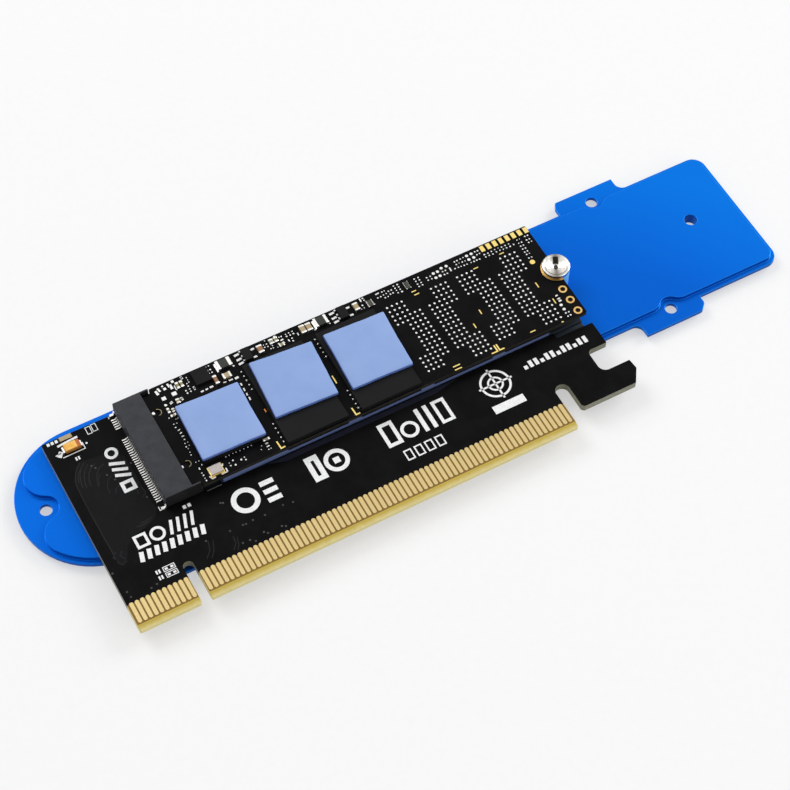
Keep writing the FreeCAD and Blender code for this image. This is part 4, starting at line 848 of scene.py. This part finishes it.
# Each small part: left, low, right, high, whether its end caps lie along X, cap, colour.
TALL_CAPS = [
    (17.97, 30.62, 18.7, 32.52, False, 0.42, BROWN), (19.65, 30.97, 21.25, 32.1, True, 0.42, TAN),
    (27.6, 32.92, 28.66, 34.6, False, 0.38, BROWN), (36.22, 33.15, 37.26, 34.86, False, 0.36, TAN),
    (37.42, 33.13, 38.46, 34.8, False, 0.36, TAN), (46.98, 33.05, 47.98, 34.7, False, 0.36, TAN),
]
SMALL_CHIPS = [
    (11.62, 33.1, 12.2, 34.5, False, 0.42, OLIVE), (12.4, 33.1, 12.98, 34.5, False, 0.42, OLIVE),
    (10.25, 30.3, 10.95, 31.35, False, 0.36, TAN), (8.02, 29.2, 8.5, 30.35, False, 0.42, OLIVE),
    (8.1, 28.25, 9.2, 28.8, True, 0.38, TAN), (8.8, 29.05, 9.3, 29.9, False, 0.3, OLIVE),
    (30.2, 33.85, 31.05, 34.95, False, 0.34, GREY),
    (31.18, 33.88, 31.95, 34.95, False, 0.32, OLIVE), (31.5, 32.58, 32.5, 33.3, True, 0.28, OLIVE),
    (49.55, 32.75, 50.75, 34.2, True, 0.22, DARK), (57.45, 33.02, 58.42, 34.7, True, 0.17, DARK),
    (19.97, 16.28, 21.3, 16.78, True, 0.42, GREY), (80.36, 17.6, 80.95, 18.4, False, 0.26, GREY),
]


def chip(solid, high, x0, y0, x1, y1, along_x, cap, slot):
    """A small part: ceramic body with two tinned end caps that wrap it."""
    if along_x:
        body = (x0 + cap * 0.6, y0 + 0.04, x1 - cap * 0.6, y1 - 0.04)
        ends = ((x0, y0, x0 + cap, y1), (x1 - cap, y0, x1, y1))
    else:
        body = (x0 + 0.04, y0 + cap * 0.6, x1 - 0.04, y1 - cap * 0.6)
        ends = ((x0, y0, x1, y0 + cap), (x0, y1 - cap, x1, y1))
    solid.block(*body, 0.02, high - 0.03, CAP_EASE, slot)
    for end in ends:
        solid.block(*end, 0.0, high, CAP_EASE)


capacitors = Solids(MODULE_TOP)
for row in TALL_CAPS:
    chip(capacitors, CAP_HIGH, *row)
piece = capacitors.build("module_capacitors", PART_COLOURS)
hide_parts("ceramic_capacitors")

resistors = Solids(MODULE_TOP)
for row in SMALL_CHIPS:
    chip(resistors, CHIP_HIGH, *row)
piece = resistors.build("module_resistors", PART_COLOURS)
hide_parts("chip_resistors")

inductors = Solids(MODULE_TOP)
for x0, x1, left_cap, right_cap, y0, y1 in ((19.6, 22.4, 0.62, 0.68, 33.1, 34.95),
                                           (39.1, 41.65, 0.52, 0.55, 33.1, 34.98)):
    inductors.block(x0 + 0.3, y0 + 0.04, x1 - 0.3, y1 - 0.04, 0.04, INDUCTOR_HIGH - 0.04, 0.06)
    for left, right in ((x0, x0 + left_cap), (x1 - right_cap, x1)):
        inductors.block(left, y0, right, y1, 0.0, INDUCTOR_HIGH, CAP_EASE, 1)
    inductors.block(x0 - 0.25, y0 - 0.05, x0 + 0.1, y1 - 0.05, 0.0, 0.1, 0.03, 1)
piece = inductors.build("module_inductors", ["ferrite", "tin"])
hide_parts("power_inductors")


# ---- tantalum capacitor

(case_x0, _, _), (case_x1, _, _) = card_box("tantalum_body")
case = Solids(BOARD_TOP)
case.block(case_x0 + 0.08, 31.5, case_x1 - 0.08, 33.1, 0.1, 0.9, 0.12)
case_piece = case.build("tantalum_case", ["orange"])
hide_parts("tantalum_body")
feet = Solids(BOARD_TOP)
feet.block(case_x0 - 0.32, 31.7, case_x0 + 0.06, 32.9, 0.0, 0.5, 0.06)
feet.block(case_x1 - 0.06, 31.7, case_x1 + 0.25, 32.9, 0.0, 0.45, 0.06)
feet_piece = feet.build("tantalum_feet", ["tin"])
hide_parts("tantalum_terminals")


# ---- retaining screw

SCREW_SIDES = 72
(x0, y0, TIP), (x1, y1, CROWN) = card_box("retaining_screw")
# radius, and height over three levels: the tip, the washer face and the crown with its dish
SCREW_PROFILE = {
    TIP: [(0.75, 0.0), (0.98, 0.2)],
    MODULE_TOP: [(0.98, 0.03), (0.99, 0.04), (2.3, 0.045), (2.5, 0.12), (2.585, 0.24), (2.6, 0.4)],
    CROWN: [
        (2.6, -0.22), (2.57, -0.1), (2.5, -0.03), (2.4, 0.0), (2.26, 0.0), (2.2, -0.02),
        (2.16, -0.07), (2.1, -0.09), (2.04, -0.08), (1.98, -0.06), (1.9, -0.07), (1.5, -0.2),
        (1.1, -0.34), (0.7, -0.49), (0.42, -0.6), (0.36, -0.66), (0.3, -0.8),
    ],
}
turned = Solids()
turned.rings([(circle((x0 + x1) / 2.0, (y0 + y1) / 2.0, radius, SCREW_SIDES), level + rise)
              for level, steps in SCREW_PROFILE.items() for radius, rise in steps])
piece = turned.build("screw_turned", ["steel"], smooth=True)
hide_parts("retaining_screw")


# ---- copper under the mask, and a painted blue reflection beside the module

POUR_OUTLINE = [
    (-11.68, 25.09), (-11.05, 26.79), (-10.05, 28.31), (-8.99, 29), (-6.49, 28.69), (-3.52, 28.14),
    (-1.99, 26.51), (-1.82, 22.76), (-1.78, 17.97), (-1.39, 14.39), (-2.52, 12.78), (-4.85, 11.81),
    (-7.52, 11.26), (-8.92, 9.83), (-10.2, 7.47), (-11.11, 7.09), (-11.68, 7.83), (-11.67, 11.09),
    (-11.77, 15.75), (-11.85, 21.35),
]
TRACES = [
    [(-9.23, 28.9), (-10.14, 28.13), (-10.85, 27.14), (-11.38, 26.06), (-11.69, 24.64),
     (-11.77, 21.53), (-11.78, 18.19), (-11.77, 15.75), (-11.76, 13.32), (-11.67, 11.09),
     (-11.69, 9.03), (-11.61, 7.79), (-11.11, 7.09), (-10.2, 7.47)],
    [(-8.66, 28.48), (-9.61, 27.62), (-10.26, 26.59), (-10.68, 25.23), (-10.87, 23.97)],
    [(-8.14, 27.97), (-9.09, 27.11), (-9.73, 26.09), (-10.15, 24.72), (-10.26, 23.65)],
    [(-7.03, 27.49), (-8.01, 26.99), (-8.81, 26.05), (-9.3, 24.95), (-9.49, 23.69)],
    [(-5.66, 26.76), (-6.8, 26.34), (-7.6, 25.4), (-8.18, 24.12), (-8.37, 22.86)],
    [(-5.41, 24), (-6.43, 23.41), (-7.09, 22.17), (-7.21, 20.88)],
    [(-9.84, 27.51), (-10.64, 26.57), (-11.06, 25.21)],
    [(-7.14, 25.15), (-7.79, 24.36), (-8.13, 23.18)],
    [(-4.95, 21.71), (-5.97, 21.12), (-6.38, 20.22)],
    [(-2.06, 20.61), (-2.87, 19.68), (-2.92, 18.36)],
    [(-11.1, 9.91), (-12.02, 9.1), (-11.52, 8.18)],
    [(-10.13, 9.61), (-10.83, 8.89), (-10.18, 7.89)],
    [(-2.03, 19.46), (-1.7, 18.15), (-2.57, 17.49)],
    [(-3.52, 12.65), (-4.9, 12.5), (-5.96, 12.63)],
    [(-2.89, 13.2), (-4.12, 12.97), (-5.03, 13.01)],
    [(3.45, 4.49), (2.99, 2.77), (1.79, 1.46)],
    [(4.28, 4.27), (3.5, 2.28), (2.62, 1.23)],
    [(7.6, 3.36), (7.45, 1.91), (6.55, 0.86)],
    [(8.11, 2.87), (7.72, 1.32), (7.14, 0.54)],
]
MASK_SPOTS = [
    (-7.77, 27.32), (-7.33, 26.62), (-6.17, 24.4), (-5.33, 22.93), (-1.52, 24.65), (-1.97, 17.17),
    (-13.33, 6.45), (-12.65, 2.13), (-12.46, 0.97), (-8.75, 0.89), (-7.62, 1.13), (8.58, 10.16),
    (8.96, 9.96), (11.97, 4.55), (10.04, 4.48), (10.58, 4.41), (7.58, 4.47), (15.78, 1.17),
    (16.38, 0.85), (12.57, 1.58), (13.08, 1.08), (3.16, 4.65), (8.49, 1.35), (9.79, 1.31),
    (10.59, 0.66), (17.8, 4.76), (19.58, 4.48), (14.21, 4.46),
]
POUR_HIGH = 0.008
TRACE_HIGH = 0.0128
SPOT_HIGH = 0.0144
under_mask = Solids(BOARD_TOP)
under_mask.prism(POUR_OUTLINE[::-1], 0.0, POUR_HIGH)
# painted reflection: a bluish band on the mask beside the module
under_mask.prism([(22.5, 12.3), (52.0, 12.3), (57.0, 13.3), (19.0, 13.3)], 0.0, POUR_HIGH, 3)
for path in TRACES:
    under_mask.stroke(path, 0.15, 0.0, TRACE_HIGH, 1)
for x, y in MASK_SPOTS:
    under_mask.disc(x, y, 0.2, 0.0, SPOT_HIGH, 12, 2)
under_mask.build("copper_under_mask", ["pour", "trace", "spot", "painted_blue_reflection"])


# ---- legend on the boards

INK = (-0.002, 0.02)
RING_SIDES = 40
legend = Solids(BOARD_TOP)


def ink_bar(x0, y0, x1, y1):
    legend.block(x0, y0, x1, y1, *INK)


def ink_line(path, width):
    legend.stroke(path, width, *INK)


def ink_ring(x, y, outer, width):
    legend.ring(x, y, outer, outer - width, *INK, RING_SIDES)


def ink_frame(x0, y0, x1, y1, width):
    """A rectangular outline."""
    ink_bar(x0, y0, x1, y0 + width)
    ink_bar(x0, y1 - width, x1, y1)
    ink_bar(x0, y0 + width, x0 + width, y1 - width)
    ink_bar(x1 - width, y0 + width, x1, y1 - width)


# beside the socket: a row of bold marks that runs along Y
ink_ring(-3.7, 28.05, 1.2, 0.55)
for y in (26.2, 24.9, 23.6):
    ink_line([(-5.0, y), (-2.4, y - 1.0)], 0.62)
ink_frame(-5.0, 19.6, -2.5, 21.9, 0.62)

# two lines of marks above the first pads
ink_frame(-7.6, 8.5, -5.2, 11.2, 0.5)
ink_ring(-3.4, 9.85, 1.4, 0.5)
for i in range(4):
    ink_line([(-1.3 + 1.3 * i, 8.5), (-0.4 + 1.3 * i, 11.2)], 0.55)
for i in range(9):
    ink_line([(-7.9 + 1.42 * i, 6.0), (-7.4 + 1.42 * i, 7.9)], 0.8)

# along the strip
ink_ring(12.6, 8.6, 2.55, 0.95)
for i in range(3):
    ink_bar(16.0, 6.2 + 1.75 * i, 18.6, 7.15 + 1.75 * i)
ink_frame(24.9, 6.0, 27.4, 11.2, 0.95)
ink_ring(30.1, 8.4, 2.3, 0.8)
ink_bar(29.5, 7.8, 30.7, 9.0)

ink_frame(39.3, 6.1, 42.2, 11.2, 0.7)
ink_ring(44.3, 7.9, 1.7, 0.6)
ink_bar(46.6, 6.1, 47.4, 11.1)
ink_bar(48.3, 6.1, 49.1, 11.1)
ink_frame(50.0, 6.1, 52.6, 11.1, 0.6)
for i in range(4):
    left = 41.0 + 2.05 * i
    ink_frame(left, 2.3, left + 1.5, 4.5, 0.26)

ink_ring(62.3, 9.1, 2.9, 0.42)
ink_line([(59.0, 9.1), (65.6, 9.1)], 0.36)
ink_line([(62.3, 5.8), (62.3, 12.4)], 0.36)
ink_ring(62.3, 9.1, 1.5, 0.36)
ink_bar(59.2, 3.4, 65.45, 5.05)

for i in range(12):
    left = 68.5 + 1.13 * i
    ink_bar(left, 9.1, left + 0.72, 10.55 if i % 3 else 9.9)

# component outlines and their small ticks
for left, low in ((-5.7, 33.4), (-4.6, 33.5)):
    ink_frame(left, low, left + 0.95, low + 1.6, 0.13)
for i in range(3):
    ink_bar(-12.9 + 0.75 * i, 34.4, -12.4 + 0.75 * i, 35.0)
for i in range(2):
    ink_bar(-9.6 + 0.5 * i, 29.5, -9.3 + 0.5 * i, 30.2)
    ink_bar(2.5 + 0.9 * i, 12.0, 3.1 + 0.9 * i, 12.7)
for low in (1.35, 2.55):
    ink_frame(-5.6, low, -3.4, low + 1.0, 0.14)
    for left in (-5.3, -4.25):
        ink_bar(left, low + 0.3, left + 0.55, low + 0.7)
    for left in (-6.9, -6.4):
        ink_bar(left, low + 0.15, left + 0.3, low + 0.9)
ink_line([(-1.1, 14.5), (-1.1, 13.7), (-0.25, 13.7)], 0.16)
ink_line([(-1.1, 34.6), (-1.1, 35.0), (-0.4, 35.0)], 0.16)

# outline and polarity mark of the orange capacitor
ink_line([(-11.4, 33.62), (-9.7, 33.8), (-7.5, 33.95)], 0.42)
ink_line([(-11.95, 31.45), (-11.2, 32.4)], 0.8)
ink_line([(-12.4, 31.97), (-11.3, 32.17)], 0.2)
ink_line([(-7.22, 32.5), (-7.22, 31.12), (-11.4, 31.08)], 0.17)
legend.disc(-6.6, 32.0, 0.2, *INK, 16)
# a painted highlight: a grey line along the board's inner edge beside the socket's near end
legend.stroke([(7.6, 13.36), (10.4, 13.36)], 0.14, *INK, 1)
legend.build("board_legend", ["ink", "painted_edge_highlight"])

module_legend = Solids(MODULE_TOP)
for path in ([(8.75, 14.5), (9.05, 13.85), (9.7, 13.9)], [(10.8, 13.9), (11.95, 13.95)],
             [(11.95, 13.9), (11.95, 14.7)], [(11.6, 15.35), (11.85, 15.75)],
             [(9.0, 15.0), (9.2, 15.4)]):
    module_legend.stroke(path, 0.24, *INK)
module_legend.build("module_legend", ["ink"])


# ---- stage, light, camera

FLOOR_LIFT = 0.55
FLOOR_SPREAD = 4.0
FLOOR_DROP = 0.00005


def floor_material():
    """Pale paper, lifted toward an even tone where it is seen and not where it lights."""
    made = Nodes("floor_paper")
    tooth = made.noise(700.0, 3.0)
    shade = made.mix(made.ramp(tooth, 0.3, 0.7), (0.9, 0.9, 0.9), (0.925, 0.925, 0.925))
    made.surface(shade, tooth, (0.85, 0.95), Specular_IOR_Level=0.0)
    paper = add_node(made.tree, "Emission", Color=(0.922, 0.922, 0.914, 1.0))
    show(made.tree, paper, made.shader.outputs[0], FLOOR_LIFT, made.out)
    return made.material


floor_mesh = bpy.data.meshes.new("floor")
floor_mesh.from_pydata(
    [(FLOOR_SPREAD * x, FLOOR_SPREAD * y, 0.0) for x, y in ((-1, -1), (1, -1), (1, 1), (-1, 1))],
    [], [(0, 1, 2, 3)])
floor_mesh.materials.append(floor_material())
floor = on_scene("floor", floor_mesh)
floor.location.z = -FLOOR_DROP


def area_light(name, position, power):
    """A round soft lamp that points at the card's middle."""
    data = bpy.data.lights.new(name, "AREA")
    data.shape = "DISK"
    data.size = 0.8
    data.energy = power
    light = on_scene(name, data)
    light.location = position
    light.rotation_euler = (-Vector(position)).to_track_quat("-Z", "Y").to_euler()


area_light("key", (-0.4, 0.9, 0.9), 7.8)
area_light("side", (1.2, 0.15, 0.75), 9.5)
area_light("fill", (0.45, -0.85, 0.6), 2.5)

world = bpy.data.worlds.new("studio")
bpy.context.scene.world = world
world.use_nodes = True
tree = world.node_tree
tree.nodes.clear()
soft_light = add_node(tree, "Background", Color=(0.97, 0.98, 1.0, 1.0), Strength=0.5)
backdrop = add_node(tree, "Background", Color=(0.93, 0.93, 0.935, 1.0))
show(tree, backdrop, soft_light.outputs[0], 1.0, add_node(tree, "OutputWorld"))

# The camera's place and axes were fitted to the photograph.
camera_data = bpy.data.cameras.new("camera")
camera_data.sensor_width = 36.0
camera_data.lens = 97.81
camera_data.clip_start = 0.01
camera_data.clip_end = 20.0
camera = on_scene("camera", camera_data)
CAMERA_AT = Vector((-0.10777, -0.18194, 0.32184))
RIGHT = Vector((0.87754943, -0.479322, 0.01254629))
DOWN = Vector((-0.39561446, -0.73858482, -0.54587698))
AHEAD = Vector((0.27091735, 0.47407054, -0.8377714))
turn = Matrix((RIGHT, -DOWN, -AHEAD)).transposed().to_4x4()
camera.matrix_world = Matrix.Translation(CAMERA_AT) @ turn
bpy.context.scene.camera = camera

bpy.context.scene.view_settings.view_transform = "Standard"
